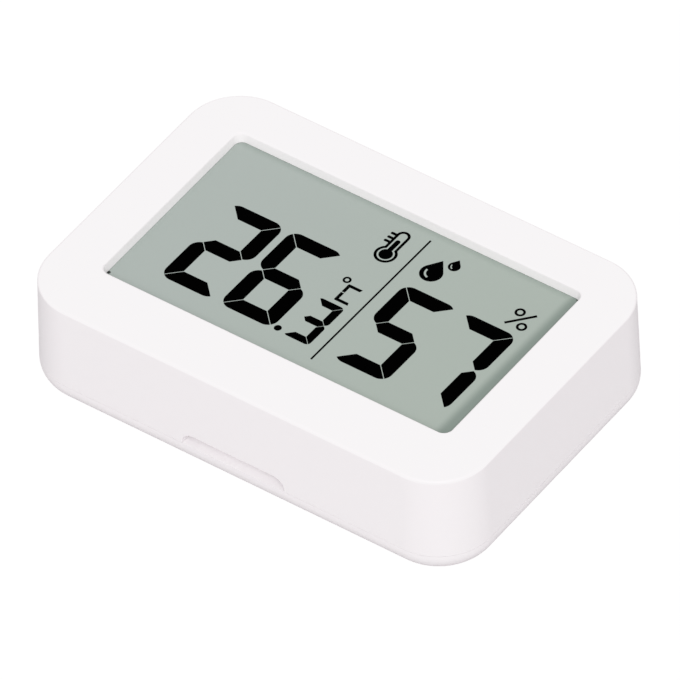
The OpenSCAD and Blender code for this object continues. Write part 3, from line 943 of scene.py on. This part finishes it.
@dataclass
class FrontShell:
    """Moulded front case with its display window, bosses, prying notch and air vents."""

    form: CaseForm
    face: float = 1.2
    face_edge: float = 0.4
    window: Outline = Outline(47.142, 26.642, 1.0, 0.95)
    window_draft: float = math.radians(6)
    window_edge: float = 0.27
    sill: float = 0.16
    sill_wall: float = 0.11
    boss_at: Flat = (26.92, 9.0)
    boss_radius: float = 1.4
    boss_hole: float = 0.75
    boss_foot: float = 8.4
    boss_depth: float = 3.9
    boss_steps: int = 32
    notch: Point = (14.0, 1.5, 1.7)
    notch_corner: float = 1.5
    notch_steps: int = 16
    vent_x: float = 13.97
    vent_count: int = 7
    vent_pitch: float = 2.0
    vent_width: float = 1.0
    vent_z: Flat = (5.9, 9.5)
    vent_steps: int = 8

    def shell(self) -> Workpiece:
        """Models the shell from its outer wall through the window to its hollow.

        Returns:
            The closed shell.
        """
        form, top = self.form, self.form.thickness
        low = form.seam + form.seam_gap
        ceiling = top - self.face
        sill_z = ceiling - self.sill
        outer, rim, hollow = form.outline(low), form.outline(top), form.hollow()
        mouth = self.window.grown((top - sill_z) * math.tan(self.window_draft))
        sill = self.window.grown(self.sill_wall)
        tangent = self.face_edge * math.tan((math.pi / 2 - form.draft) / 2)
        work = Workpiece.start("front_shell")
        # Leaning outer wall with its rounded front edge
        work.plate(outer, low)
        bpy.ops.mesh.inset(thickness=(top - low) * math.tan(form.draft), depth=top - low)
        work.pick_rims((rim, top))
        work.round_edges(tangent)
        work.pick(Kind.FACE, lambda points, heading: heading.z > UPRIGHT and points[0].z > top - TOUCH)
        bpy.ops.mesh.delete(type="ONLY_FACE")
        # Face, and the leaning walls of the window down to the sill
        work.rim(mouth, top - APART)
        work.bridge((rim.grown(-tangent), top), mouth, -APART)
        work.rim(self.window, sill_z)
        work.join_rims((mouth, top), (self.window, sill_z))
        # Sill, ceiling, hollow and the rim that meets the seam
        work.rim(sill, sill_z - APART)
        work.bridge((self.window, sill_z), sill, -APART)
        work.lift(self.sill)
        work.rim(hollow, ceiling - APART)
        work.bridge((sill, ceiling), hollow, -APART)
        work.lift(low + APART - ceiling)
        work.bridge((outer, low), hollow, APART)
        work.pick_rims((mouth, top))
        work.round_edges(self.window_edge, FINE_STEPS)
        return work.close()

    def bosses(self) -> Workpiece:
        """Models one hollow boss and copies it to the other three screws.

        Returns:
            The four closed bosses.
        """
        across, along = self.boss_at
        work = Workpiece.start("bosses")
        work.disc((-across, -along), self.boss_radius, self.boss_foot, self.boss_steps)
        work.lift(self.form.thickness - self.face / 2 - self.boss_foot)
        work.pick_level(self.boss_foot)
        bpy.ops.mesh.inset(thickness=self.boss_radius - self.boss_hole)
        work.lift(self.boss_depth)
        for way in ((2 * across, 0, 0), (0, 2 * along, 0)):
            bpy.ops.mesh.select_all(action="SELECT")
            work.copy(way)
        return work.close()

    def notch_tool(self) -> Workpiece:
        """Models the cutter of the prying notch.

        Returns:
            The closed cutter.
        """
        length, depth, height = self.notch
        wall_y = -self.form.outline(self.form.seam).height / 2
        high = self.form.seam + height
        work = Workpiece.start("notch_tool")
        work.block((-length / 2, wall_y - depth, self.form.seam - height), (length / 2, wall_y + depth, high))
        work.pick(Kind.EDGE, lambda points, heading: abs(heading.y) > depth and all(
            abs(p.z - high) < TOUCH for p in points))
        work.round_edges(self.notch_corner, self.notch_steps)
        return work.close()

    def vent_tool(self) -> Workpiece:
        """Models one vent cutter and copies it along the upper wall.

        Returns:
            The closed cutters.
        """
        low, high = self.vent_z
        wall_y = self.form.height / 2
        reach = 2 * self.form.wall
        half = self.vent_width / 2
        first = self.vent_x - (self.vent_count - 1) / 2 * self.vent_pitch
        work = Workpiece.start("vent_tool")
        work.block((first - half, wall_y - reach, low), (first + half, wall_y + reach, high))
        work.pick(Kind.EDGE, lambda points, heading: abs(heading.y) > reach)
        work.round_edges(half - HEAD_FLAT, self.vent_steps)
        bpy.ops.mesh.select_all(action="SELECT")
        for _ in range(self.vent_count - 1):
            work.copy((self.vent_pitch, 0, 0))
        return work.close()

    def build(self, finish: Finish) -> bpy.types.Object:
        """Models the whole case and delivers it.

        Args:
            finish: Finish of the case.
        Returns:
            The case.
        """
        work = self.shell()
        work.carve(self.bosses(), Carve.ADD)
        work.carve(self.notch_tool(), Carve.CUT)
        work.carve(self.vent_tool(), Carve.CUT)
        return work.deliver(finish, Body.CASE, Slot.SHELL, "front_case")


@dataclass
class RearShell:
    """Moulded rear cover with its gripping rim and the guide of the key."""

    form: CaseForm
    floor: float = 1.6
    back_edge: float = 2.6
    back_steps: int = 14
    rim_fit: float = 0.1
    rim_wall: float = 1.0
    rim_top: float = 5.4
    rim_edge: float = 0.25
    hole_radius: float = 2.65
    hole_edge: float = 0.2
    collar_in: float = 3.65
    collar_out: float = 4.45
    collar_top: float = 2.7

    def shell(self) -> Workpiece:
        """Models the tray from its rear face over the seam and the rim to its floor.

        Returns:
            The closed tray.
        """
        form = self.form
        outer, back = form.outline(form.seam), form.outline(0)
        rim_out = form.hollow().grown(-self.rim_fit)
        rim_in = rim_out.grown(-self.rim_wall)
        work = Workpiece.start("rear_shell")
        work.plate(back, 0)
        bpy.ops.mesh.inset(thickness=form.seam * math.tan(form.draft), depth=form.seam)
        bpy.ops.mesh.inset(thickness=(outer.width - rim_out.width) / 2)
        work.lift(self.rim_top - form.seam)
        bpy.ops.mesh.inset(thickness=self.rim_wall)
        work.lift(self.floor - self.rim_top)
        work.pick_rims((back, 0))
        bpy.ops.mesh.edge_face_add()
        work.pick_rims((rim_out, self.rim_top), (rim_in, self.rim_top))
        work.round_edges(self.rim_edge, FINE_STEPS)
        work.pick_rims((back, 0))
        work.round_edges(self.back_edge * math.tan((math.pi / 2 + form.draft) / 2), self.back_steps)
        return work.close()

    def post(self, name: str, radius: float, low: float, high: float) -> Workpiece:
        """Models a round post on the axis of the key.

        Args:
            name: Name of the post.
            radius: Its radius.
            low: Height of its foot.
            high: Height of its head.
        Returns:
            The closed post.
        """
        work = Workpiece.start(name)
        work.disc(self.form.key_at, radius, low)
        work.lift(high - low)
        return work.close()

    def build(self, finish: Finish) -> bpy.types.Object:
        """Models the whole cover and delivers it.

        Args:
            finish: Finish of the cover.
        Returns:
            The cover.
        """
        work = self.shell()
        work.carve(self.post("collar", self.collar_out, self.floor / 2, self.collar_top), Carve.ADD)
        work.carve(self.post("collar_bore", self.collar_in, self.floor, self.collar_top + SPARE), Carve.CUT)
        work.carve(self.post("key_hole", self.hole_radius, -SPARE, self.collar_top), Carve.CUT)
        work.reopen()
        work.pick_circle(self.form.key_at, self.hole_radius, 0)
        work.round_edges(self.hole_edge, FINE_STEPS)
        work.close()
        return work.deliver(finish, Body.COVER, Slot.SHELL, "rear_cover")


@dataclass
class ResetKey:
    """Sunk key with a dished tip and a flange that holds it in the cover. The dish deepens ring by ring."""

    form: CaseForm
    radius: float = 2.5
    tip: float = 0.2
    flange_z: float = 1.6
    top: float = 2.2
    flange: float = 3.5
    edge: float = 0.3
    edge_steps: int = 5
    dish_ring: float = 0.55
    dish_depths: Point = (0.0, 0.15, 0.05)

    def build(self, finish: Finish) -> bpy.types.Object:
        """Models the key and delivers it.

        Args:
            finish: Finish of the key.
        Returns:
            The key.
        """
        at = self.form.key_at
        work = Workpiece.start("reset_key_cap")
        work.disc(at, self.radius, self.tip)
        work.lift(self.flange_z - self.tip)
        # A second face in the same plane is spread to the flange
        work.lift(0)
        grow = self.flange / self.radius
        bpy.ops.transform.resize(value=(grow, grow, 1), center_override=(*at, self.flange_z))
        work.lift(self.top - self.flange_z)
        work.pick_level(self.tip)
        for depth in self.dish_depths:
            bpy.ops.mesh.inset(thickness=self.dish_ring)
            bpy.ops.transform.translate(value=(0, 0, depth))
        work.pick_circle(at, self.radius, self.tip)
        work.round_edges(self.edge, self.edge_steps)
        work.close()
        return work.deliver(finish, Body.KEY, Slot.SHELL, "reset_key")


@dataclass(frozen=True)
class Print:
    """Thin black print on the display's film. It leans a little, as on the sensor."""

    surface: float = 13.1
    sunk: float = 0.008
    proud: float = 0.012
    spread: float = 0.018
    lean: float = 0.0143
    lean_from: float = -1.4

    def hollowing(self) -> "Print":
        """Gives the same print as deep and narrow tools for cutting."""
        return replace(self, sunk=SPARE, proud=SPARE, spread=-self.spread)

    def level(self) -> float:
        """Gives the height of the print's lower side."""
        return self.surface - self.sunk

    def thicken(self, work: Workpiece) -> None:
        """Gives the flat island under work its thickness."""
        bpy.ops.mesh.select_linked()
        work.lift(self.sunk + self.proud)

    def strip(self, work: Workpiece, strip: Strip) -> None:
        """Prints one strip.

        Args:
            work: Piece that it is added to.
            strip: The strip.
        """
        z = self.level()
        strip = strip.grown(self.spread)
        work.rectangle(strip.low, strip.high, z)
        if strip.rounded:
            marks = [Vector((*p, z)) for p in strip.rounded]
            work.pick(Kind.VERT, lambda points, _: any((points[0] - m).length < TOUCH for m in marks))
            bpy.ops.mesh.bevel(offset=strip.corner, segments=PRINT_CORNER_STEPS, affect="VERTICES",
                               clamp_overlap=False)
        work.cut_island(strip.cuts, z)
        self.thicken(work)

    def disc(self, work: Workpiece, middle: Flat, radius: float) -> None:
        """Prints a disc."""
        work.disc(middle, radius + self.spread, self.level(), PRINT_ROUND_STEPS)
        self.thicken(work)

    def ring(self, work: Workpiece, middle: Flat, radius: float, stroke: float,
             cuts: Iterable[Cut] = ()) -> None:
        """Prints a ring, or the part of it that cuts leave.

        Args:
            work: Piece that it is added to.
            middle: Its middle.
            radius: Its outer radius.
            stroke: Width of its line.
            cuts: Planes that cut it.
        """
        outer = radius + self.spread
        work.disc(middle, outer, self.level(), PRINT_ROUND_STEPS)
        bpy.ops.mesh.inset(thickness=stroke + 2 * self.spread)
        bpy.ops.mesh.delete(type="FACE")
        near = Vector((middle[0], middle[1] + outer, self.level()))
        work.pick(Kind.VERT, lambda points, _: (points[0] - near).length < TOUCH)
        work.cut_island(cuts, self.level())
        self.thicken(work)

    def solid(self, name: str, make: Callable[[Workpiece], None]) -> Workpiece:
        """Prints one closed piece, or one closed tool for carving.

        Args:
            name: Name of the piece.
            make: Adds the shape to the open piece.
        Returns:
            The closed piece.
        """
        work = Workpiece.start(name)
        make(work)
        return work.close()

    def deliver(self, work: Workpiece, finish: Finish) -> bpy.types.Object:
        """Leans a closed piece of the print and delivers it.

        Args:
            work: The piece.
            finish: Finish of the print.
        Returns:
            The finished object.
        """
        slant = Matrix.Identity(4)
        slant[0][1] = self.lean
        slant[0][3] = -self.lean * self.lean_from
        work.obj.data.transform(slant)
        return work.deliver(finish, Body.CASE, Slot.SEGMENTS)


@dataclass(frozen=True)
class Sign:
    """One sign of the display."""

    name: str

    def model(self, layer: Print) -> Workpiece:
        """Models the sign in a print and closes it."""
        raise NotImplementedError


@dataclass(frozen=True)
class DigitCell:
    """A seven-segment digit with mitred bars and rounded outer corners."""

    at: Flat
    size: Flat
    bar: float
    corner: float
    gap: float
    tip: float

    def from_left(self, left: float) -> "DigitCell":
        """Gives the same digit with its left side elsewhere."""
        return replace(self, at=(left, self.at[1]))

    def strips(self) -> dict[Bar, Strip]:
        """Gives the seven bars of the digit in its place.

        Returns:
            The strip of each bar.
        """
        w, h = self.size
        middle, half = h / 2, self.bar / 2
        foot = middle + self.gap / 2
        slip = self.gap / math.sqrt(2)
        top = Strip((0, h - self.bar), (w, h), ((0, h), (w, h)), self.corner,
                    (((slip, h), (-1, -1)), ((w - slip, h), (1, -1))))
        side = Strip((0, foot), (self.bar, h), ((0, h), (0, foot)), self.corner,
                     (((0, h - slip), (1, 1)), ((self.tip - 2 * slip, middle), (1, -1))))
        points = tuple(((x, middle), (way, tilt)) for x, way in ((self.tip, -1), (w - self.tip, 1))
                       for tilt in (1, -1))
        local = {
            Bar.TOP: top,
            Bar.BOTTOM: top.mapped(False, True, self.size),
            Bar.MIDDLE: Strip((self.tip, middle - half), (w - self.tip, middle + half), cuts=points),
            Bar.UPPER_LEFT: side,
            Bar.UPPER_RIGHT: side.mapped(True, False, self.size),
            Bar.LOWER_LEFT: side.mapped(False, True, self.size),
            Bar.LOWER_RIGHT: side.mapped(True, True, self.size),
        }
        return {bar: strip.moved(self.at) for bar, strip in local.items()}


@dataclass(frozen=True)
class Reading(Sign):
    """A number in digits, with a decimal point if it has one."""

    digits: tuple[tuple[DigitCell, int], ...]
    point: Flat | None = None
    point_radius: float = 0.43

    def model(self, layer: Print) -> Workpiece:
        """Models the lit bars of each digit, and the point.

        Args:
            layer: Print that the reading is part of.
        Returns:
            The closed reading.
        """
        work = Workpiece.start(self.name)
        for cell, number in self.digits:
            strips = cell.strips()
            for bar in DIGIT_BARS[number]:
                layer.strip(work, strips[bar])
        if self.point:
            layer.disc(work, self.point, self.point_radius)
        return work.close()


@dataclass(frozen=True)
class DegreeSign(Sign):
    """Sign of the temperature unit: a small ring, and a square of four bars that is open to the right."""

    ring_at: Flat = (-0.48, 2.56)
    ring_radius: float = 0.49
    ring_stroke: float = 0.23
    low: Flat = (0.1, -0.78)
    high: Flat = (1.97, 2.12)
    bar: float = 0.38
    corner: float = 0.12
    slope: float = 0.4
    gap: float = 0.05
    split: float = 0.68
    split_half: float = 0.08

    def model(self, layer: Print) -> Workpiece:
        """Models the ring and the bars.

        Args:
            layer: Print that the sign is part of.
        Returns:
            The closed sign.
        """
        (left, low), (right, high) = self.low, self.high
        inner, above, under = left + self.bar, low + self.bar, high - self.bar
        work = Workpiece.start(self.name)
        layer.ring(work, self.ring_at, self.ring_radius, self.ring_stroke)
        for strip in (
                Strip((left, under), (right, high), ((left, high),), self.corner,
                      (((right, high), (1, -self.slope)),)),
                Strip((left, low), (right, above), ((left, low),), self.corner,
                      (((right, low), (1, self.slope)),)),
                Strip((left, self.split + self.split_half), (inner, under - self.gap)),
                Strip((left, above + self.gap), (inner, self.split - self.split_half))):
            layer.strip(work, strip)
        return work.close()


@dataclass(frozen=True)
class PercentSign(Sign):
    """Percent sign: a slanting stroke between two rings."""

    start: Flat = (18.03, 6.74)
    end: Flat = (20.44, 9.55)
    half: float = 0.15
    rings_at: tuple[Flat, ...] = ((18.53, 9.03), (20.0, 7.22))
    ring_radius: float = 0.62
    ring_stroke: float = 0.26

    def model(self, layer: Print) -> Workpiece:
        """Models the stroke and the rings.

        Args:
            layer: Print that the sign is part of.
        Returns:
            The closed sign.
        """
        start, end = Vector(self.start), Vector(self.end)
        along = (end - start).normalized()
        aside = Vector((-along.y, along.x))
        sides = ((start, -along), (end, along),
                 (start + aside * self.half, aside), (start - aside * self.half, -aside))
        work = Workpiece.start(self.name)
        layer.strip(work, Strip((start.x - SPARE, start.y - SPARE), (end.x + SPARE, end.y + SPARE),
                                cuts=tuple((tuple(p), tuple(n)) for p, n in sides)))
        for middle in self.rings_at:
            layer.ring(work, middle, self.ring_radius, self.ring_stroke)
        return work.close()


@dataclass(frozen=True)
class Divider(Sign):
    """Line between the two readings."""

    x: float = 3.595
    half: float = 0.097
    low: float = -9.95
    high: float = 12.88

    def model(self, layer: Print) -> Workpiece:
        """Models the line in a print and closes it."""
        line = Strip((self.x - self.half, self.low), (self.x + self.half, self.high))
        return layer.solid(self.name, lambda work: layer.strip(work, line))


@dataclass(frozen=True)
class Thermometer(Sign):
    """Pictogram of the temperature: the outline of a bulb and a tube, with a filled core and ticks."""

    x: float = 0.67
    bulb_y: float = 8.32
    top: float = 12.5
    stroke: float = 0.3
    bulb: float = 1.34
    tube: float = 0.83
    core: float = 0.8
    stem: float = 0.28
    stem_top: float = 10.93
    ticks_y: tuple[float, ...] = (11.53, 10.84, 10.18)
    tick_reach: float = 1.52
    tick_half: float = 0.17
    tick_corner: float = 0.12

    def column(self, half: float, high: float) -> Strip:
        """Gives an upright strip with a round head, which starts in the bulb.

        Args:
            half: Half of its width.
            high: Its top.
        Returns:
            The strip.
        """
        left, right = self.x - half, self.x + half
        return Strip((left, self.bulb_y), (right, high), ((left, high), (right, high)), half - HEAD_FLAT)

    def tick(self, y: float) -> Strip:
        """Gives a tick at the left of the tube.

        Args:
            y: Its middle.
        Returns:
            The strip.
        """
        left, right = self.x - self.tick_reach, self.x - self.tube / 2
        low, high = y - self.tick_half, y + self.tick_half
        return Strip((left, low), (right, high), ((left, low), (left, high)), self.tick_corner)

    def model(self, layer: Print) -> Workpiece:
        """Models the outline, hollows it and fills in the core.

        Args:
            layer: Print that the pictogram is part of.
        Returns:
            The closed pictogram.
        """
        deep, bulb_at = layer.hollowing(), (self.x, self.bulb_y)
        work = layer.solid(self.name, lambda w: layer.disc(w, bulb_at, self.bulb))
        for strip in (self.column(self.tube, self.top), *(self.tick(y) for y in self.ticks_y)):
            work.carve(layer.solid("outline", lambda w: layer.strip(w, strip)), Carve.ADD)
        hollow = self.column(self.tube - self.stroke, self.top - self.stroke)
        for make in (lambda w: deep.disc(w, bulb_at, self.bulb - self.stroke),
                     lambda w: deep.strip(w, hollow)):
            work.carve(deep.solid("hollow", make), Carve.CUT)
        fill = layer.solid("fill", lambda w: layer.disc(w, bulb_at, self.core))
        stem = self.column(self.stem, self.stem_top)
        fill.carve(layer.solid("stem", lambda w: layer.strip(w, stem)), Carve.ADD)
        work.join(fill)
        work.clean()
        return work


@dataclass(frozen=True)
class Drop(Sign):
    """A drop with a curved glint cut out of its left side. The glint's shift counts in radii."""

    middle: Flat
    radius: float
    tip: Flat
    glint_radius: float
    glint_stroke: float
    glint_shift: Flat = (0.12, 0.08)
    glint_ends: tuple[Flat, ...] = ((0.98, -0.19), (0.19, 0.98))

    def model(self, layer: Print) -> Workpiece:
        """Models the round part, pulls its top to the tip and cuts the glint.

        Args:
            layer: Print that the drop is part of.
        Returns:
            The closed drop.
        """
        radius = self.radius + layer.spread
        touch_y = self.middle[1] + radius * radius / math.dist(self.tip, self.middle)
        work = Workpiece.start(self.name)
        # The edge above the points where lines from the tip touch the circle is drawn out to the tip
        work.disc(self.middle, radius, layer.level())
        work.pick(Kind.EDGE, lambda points, _: all(p.y > touch_y - TOUCH for p in points))
        bpy.ops.mesh.extrude_edges_move()
        bpy.ops.mesh.select_mode(type=Kind.VERT.value)
        bpy.ops.mesh.merge(type="CENTER")
        mesh = bmesh.from_edit_mesh(work.obj.data)
        point = next(v.co.copy() for v in mesh.verts if v.select)
        bpy.ops.transform.translate(value=(self.tip[0] - point.x, self.tip[1] - point.y, 0))
        layer.thicken(work)
        work.close()
        deep = layer.hollowing()
        centre = tuple(at + radius * shift for at, shift in zip(self.middle, self.glint_shift))
        ends = [(centre, away) for away in self.glint_ends]
        work.carve(deep.solid("glint", lambda w: deep.ring(
            w, centre, self.glint_radius, self.glint_stroke, ends)), Carve.CUT)
        return work


@dataclass(frozen=True)
class Drops(Sign):
    """Pictogram of the humidity: a large drop and a small one."""

    large: Drop = Drop("large_drop", (6.66, 8.66), 1.34, (6.65, 11.0), 1.04, 0.28)
    small: Drop = Drop("small_drop", (8.2, 10.92), 0.7, (8.13, 12.1), 0.55, 0.18)

    def model(self, layer: Print) -> Workpiece:
        """Models both drops and makes them one piece.

        Args:
            layer: Print that the pictogram is part of.
        Returns:
            The closed pictogram.
        """
        work = replace(self.large, name=self.name).model(layer)
        work.join(self.small.model(layer))
        return work


@dataclass
class DisplayArt:
    """All the print of the display: two readings with their units, a dividing line and two pictograms."""

    layer: Print = Print()
    big: DigitCell = DigitCell((0, -8.4), (7.2, 14.03), bar=1.91, corner=1.35, gap=0.13, tip=1.0)
    small: DigitCell = DigitCell((-1.4, -8.38), (3.46, 7.0), bar=0.97, corner=0.55, gap=0.1, tip=0.42)
    warm_left: Flat = (-18.35, -10.19)
    warm_point: Flat = (-2.38, -7.97)
    damp_left: Flat = (5.31, 13.41)

    def signs(self) -> tuple[Sign, ...]:
        """Gives the signs in the order in which they are printed.

        Returns:
            The signs.
        """
        warm = [self.big.from_left(left) for left in self.warm_left]
        damp = [self.big.from_left(left) for left in self.damp_left]
        return (
            Reading("temperature_reading", ((warm[0], 2), (warm[1], 6), (self.small, 3)), self.warm_point),
            Reading("humidity_reading", ((damp[0], 5), (damp[1], 7))),
            DegreeSign("degree_sign"), PercentSign("percent_sign"), Divider("display_divider"),
            Thermometer("thermometer"), Drops("humidity_drops"))

    def build(self, finish: Finish) -> list[bpy.types.Object]:
        """Models each sign and delivers it."""
        return [self.layer.deliver(sign.model(self.layer), finish) for sign in self.signs()]


@dataclass
class Insides:
    """CAD nodes that stay as they are and get their finishes."""

    nodes: dict[str, bpy.types.Object]

    def middle(self, node: str) -> Point:
        """Gives the middle of a CAD node in metres."""
        low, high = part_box(node)
        return tuple((low + high) / 2)

    def finishes(self) -> dict[str, Finish]:
        """Gives the finish of each node that no new piece stands for.

        Returns:
            The finishes, by node.
        """
        steel = BrushedFinish("spring_steel", (0.72, 0.73, 0.74), smooth=0.22, rough=0.36, grain=2600.0,
                              relief=2e-6, metallic=1.0, lines=(0.05, 1.0, 1.0))
        reflector = BrushedFinish("reflector", (0.78, 0.8, 0.78), smooth=0.35, rough=0.5, grain=2000.0,
                                  relief=1e-6, metallic=1.0, lines=(1.0, 0.1, 1.0))
        screw = TurnedFinish("screw_steel", (0.6, 0.6, 0.62), smooth=0.25, rough=0.4, grain=4000.0,
                             relief=3e-6, tone=300.0, mottle=0.1, metallic=1.0)
        cell = TurnedFinish("cell_steel", (0.8, 0.8, 0.81), smooth=0.2, rough=0.32, grain=2200.0,
                            relief=3e-6, tone=120.0, mottle=0.06, metallic=1.0,
                            middle=self.middle("cell_can"))
        seal = Finish("seal_plastic", (0.75, 0.73, 0.62), smooth=0.4, rough=0.5, grain=3000.0,
                      relief=3e-6, tone=300.0, mottle=0.1)
        epoxy = Finish("chip_epoxy", (0.018, 0.018, 0.02), smooth=0.5, rough=0.65, grain=5200.0,
                       relief=5e-6, tone=400.0, mottle=0.3)
        black = Finish("black_plastic", (0.014, 0.014, 0.015), smooth=0.42, rough=0.58, grain=3600.0,
                       relief=5e-6, tone=200.0, mottle=0.3)
        holder = Finish("holder_plastic", (0.8, 0.8, 0.79), smooth=0.45, rough=0.55, grain=3000.0,
                        relief=4e-6, tone=80.0, mottle=0.05)
        gasket = Finish("gasket_foam", (0.32, 0.33, 0.33), smooth=0.85, rough=0.95, grain=6000.0,
                        relief=3e-5, tone=800.0, mottle=0.3)
        film = FilmFinish("display_film", (0.413, 0.468, 0.438), smooth=0.34, rough=0.42, grain=9000.0,
                          relief=1e-6, tone=40.0, mottle=0.02, specular=0.25)
        glass = GlassFinish("display_glass", (0.9, 0.97, 0.94), smooth=0.02, rough=0.05, grain=900.0,
                            relief=2e-7, tone=50.0, mottle=0.03)
        rubber = StripedFinish("strip_rubber", (0.35, 0.35, 0.36), smooth=0.6, rough=0.75, grain=4000.0,
                               relief=4e-6)
        laminate = BoardFinish("board_laminate", (0.02, 0.2, 0.09), smooth=0.3, rough=0.42, grain=2500.0,
                               relief=4e-6, tone=100.0, mottle=0.15)
        ceramic = CappedFinish("capacitor_ceramic", (0.5, 0.36, 0.2), smooth=0.4, rough=0.5, grain=4000.0,
                               relief=3e-6, tone=500.0, mottle=0.15,
                               middle_x=self.middle("chip_capacitors")[0], pitch=0.0028)
        antenna = CappedFinish("antenna_ceramic", (0.8, 0.8, 0.76), smooth=0.4, rough=0.5, grain=4000.0,
                               relief=3e-6, tone=500.0, mottle=0.1,
                               middle_x=self.middle("chip_antenna")[0], plain_half=0.0021)
        resistor = CappedFinish("resistor_glaze", (0.02, 0.02, 0.024), smooth=0.25, rough=0.35, grain=4000.0,
                                relief=2e-6, tone=500.0, mottle=0.2,
                                middle_x=self.middle("chip_resistors")[0])
        return {
            "lcd_front_film": film, "lcd_front_glass": glass, "lcd_rear_glass": glass,
            "lcd_rear_film": reflector, "display_gasket": gasket, "display_holder": holder,
            "zebra_strip": rubber, "circuit_board": laminate, "board_screws": screw,
            "display_driver_chip": epoxy, "controller_chip": epoxy, "climate_sensor_chip": epoxy,
            "crystal": steel, "chip_antenna": antenna, "chip_capacitors": ceramic, "chip_resistors": resistor,
            "switch_base": black, "switch_dome": steel, "switch_frame": steel, "switch_terminals": steel,
            "switch_plunger": black, "battery_cradle": black, "positive_contact": steel,
            "negative_contact": steel, "cell_can": cell, "cell_cap": cell, "cell_seal": seal,
        }

    def dress(self) -> list[bpy.types.Object]:
        """Gives each node its material.

        Returns:
            The dressed nodes.
        """
        dressed = []
        for name, finish in self.finishes().items():
            materials = self.nodes[name].data.materials
            materials.clear()
            materials.append(finish.material())
            dressed.append(self.nodes[name])
        return dressed


@dataclass
class Studio:
    """Camera of the photograph, pale floor and soft light, in metres."""

    eye: Point = (0.715802, -0.957559, 1.188042)
    right: Point = (0.816867, 0.576156, -0.027814)
    up: Point = (-0.389248, 0.586174, 0.710553)
    back: Point = (0.425693, -0.569601, 0.703093)
    lens: float = 793.1
    sensor: float = 36.0
    sight: float = 50.0
    floor_size: float = 6.0
    floor_drop: float = 0.0001
    paint: FloorFinish = FloorFinish("floor_paint", (0.597, 0.585, 0.594), smooth=0.75, rough=0.85,
                                     grain=200.0, relief=1e-6, tone=3.0, mottle=0.01, specular=0.1)
    sky: float = 0.755
    shoulder: tuple[Flat, ...] = ((0.84, 0.84), (0.94, 0.926), (1.02, 0.94), (1.14, 1.0))
    balance: Colour = (1.0, 0.984, 0.99)
    lamp_at: Point = (1.014, -1.448, 1.768)
    lamp_size: float = 1.2
    lamp_watts: float = 25.0

    def camera(self) -> None:
        """Sets up the camera."""
        data = bpy.data.cameras.new("camera")
        data.lens = self.lens
        data.sensor_width = self.sensor
        data.clip_end = self.sight
        camera = bpy.data.objects.new("camera", data)
        bpy.context.scene.collection.objects.link(camera)
        turn = Matrix((self.right, self.up, self.back)).transposed().to_4x4()
        camera.matrix_world = Matrix.Translation(self.eye) @ turn
        bpy.context.scene.camera = camera

    def floor(self) -> None:
        """Lays the floor just below the sensor."""
        bpy.ops.object.select_all(action="DESELECT")
        bpy.ops.mesh.primitive_plane_add(size=self.floor_size, location=(0.0, 0.0, -self.floor_drop))
        bpy.ops.object.transform_apply(location=True)
        floor = bpy.context.object
        floor.name = "floor"
        floor.data.materials.append(self.paint.material())

    def light(self) -> None:
        """Sets up the white sky, and a square soft light that points at the sensor."""
        world = bpy.data.worlds.new("sky")
        bpy.context.scene.world = world
        world.use_nodes = True
        background = world.node_tree.nodes["Background"]
        background.inputs["Color"].default_value = (*WHITE, 1.0)
        background.inputs["Strength"].default_value = self.sky
        data = bpy.data.lights.new("key_light", "AREA")
        data.size = self.lamp_size
        data.energy = self.lamp_watts
        lamp = bpy.data.objects.new("key_light", data)
        bpy.context.scene.collection.objects.link(lamp)
        lamp.location = self.lamp_at
        lamp.rotation_euler = (-Vector(self.lamp_at)).to_track_quat("-Z", "Y").to_euler()

    def tone(self) -> None:
        """Softens the brightest whites, as the film of a camera does."""
        view = bpy.context.scene.view_settings
        view.view_transform = "Standard"
        view.use_curve_mapping = True
        mapping = view.curve_mapping
        mapping.use_clip = False
        for curve, share in zip(mapping.curves, self.balance):
            curve.points[-1].location = self.shoulder[-1]
            for value, shown in self.shoulder[:-1]:
                curve.points.new(value, shown * share)
            for point in curve.points:
                point.handle_type = "VECTOR"
        mapping.update()

    def build(self) -> None:
        """Sets up the whole studio."""
        self.camera()
        self.floor()
        self.light()
        self.tone()


def main() -> None:
    """Builds the studio and the pieces in order, and reports each piece."""
    logging.basicConfig(level=logging.INFO, format="%(message)s")
    shell = Finish("white_shell", (0.957, 0.937, 0.946), smooth=0.46, rough=0.56, grain=5200.0,
                   relief=1.2e-6, tone=45.0, mottle=0.008, specular=0.35)
    ink = Finish("display_ink", (0.0006, 0.0006, 0.0006), smooth=0.55, rough=0.65, grain=6000.0,
                 relief=5e-7, tone=300.0, mottle=0.3, specular=0.0)
    Studio().build()
    form = CaseForm()
    pieces = [part.build(shell) for part in (FrontShell(form), RearShell(form), ResetKey(form))]
    pieces += DisplayArt().build(ink)
    pieces += Insides(frame["nodes"]).dress()
    for piece in pieces:
        LOG.info("%s: %d faces, %s", piece.name, len(piece.data.polygons), piece.data.materials[0].name)


if __name__ == "__main__":
    main()
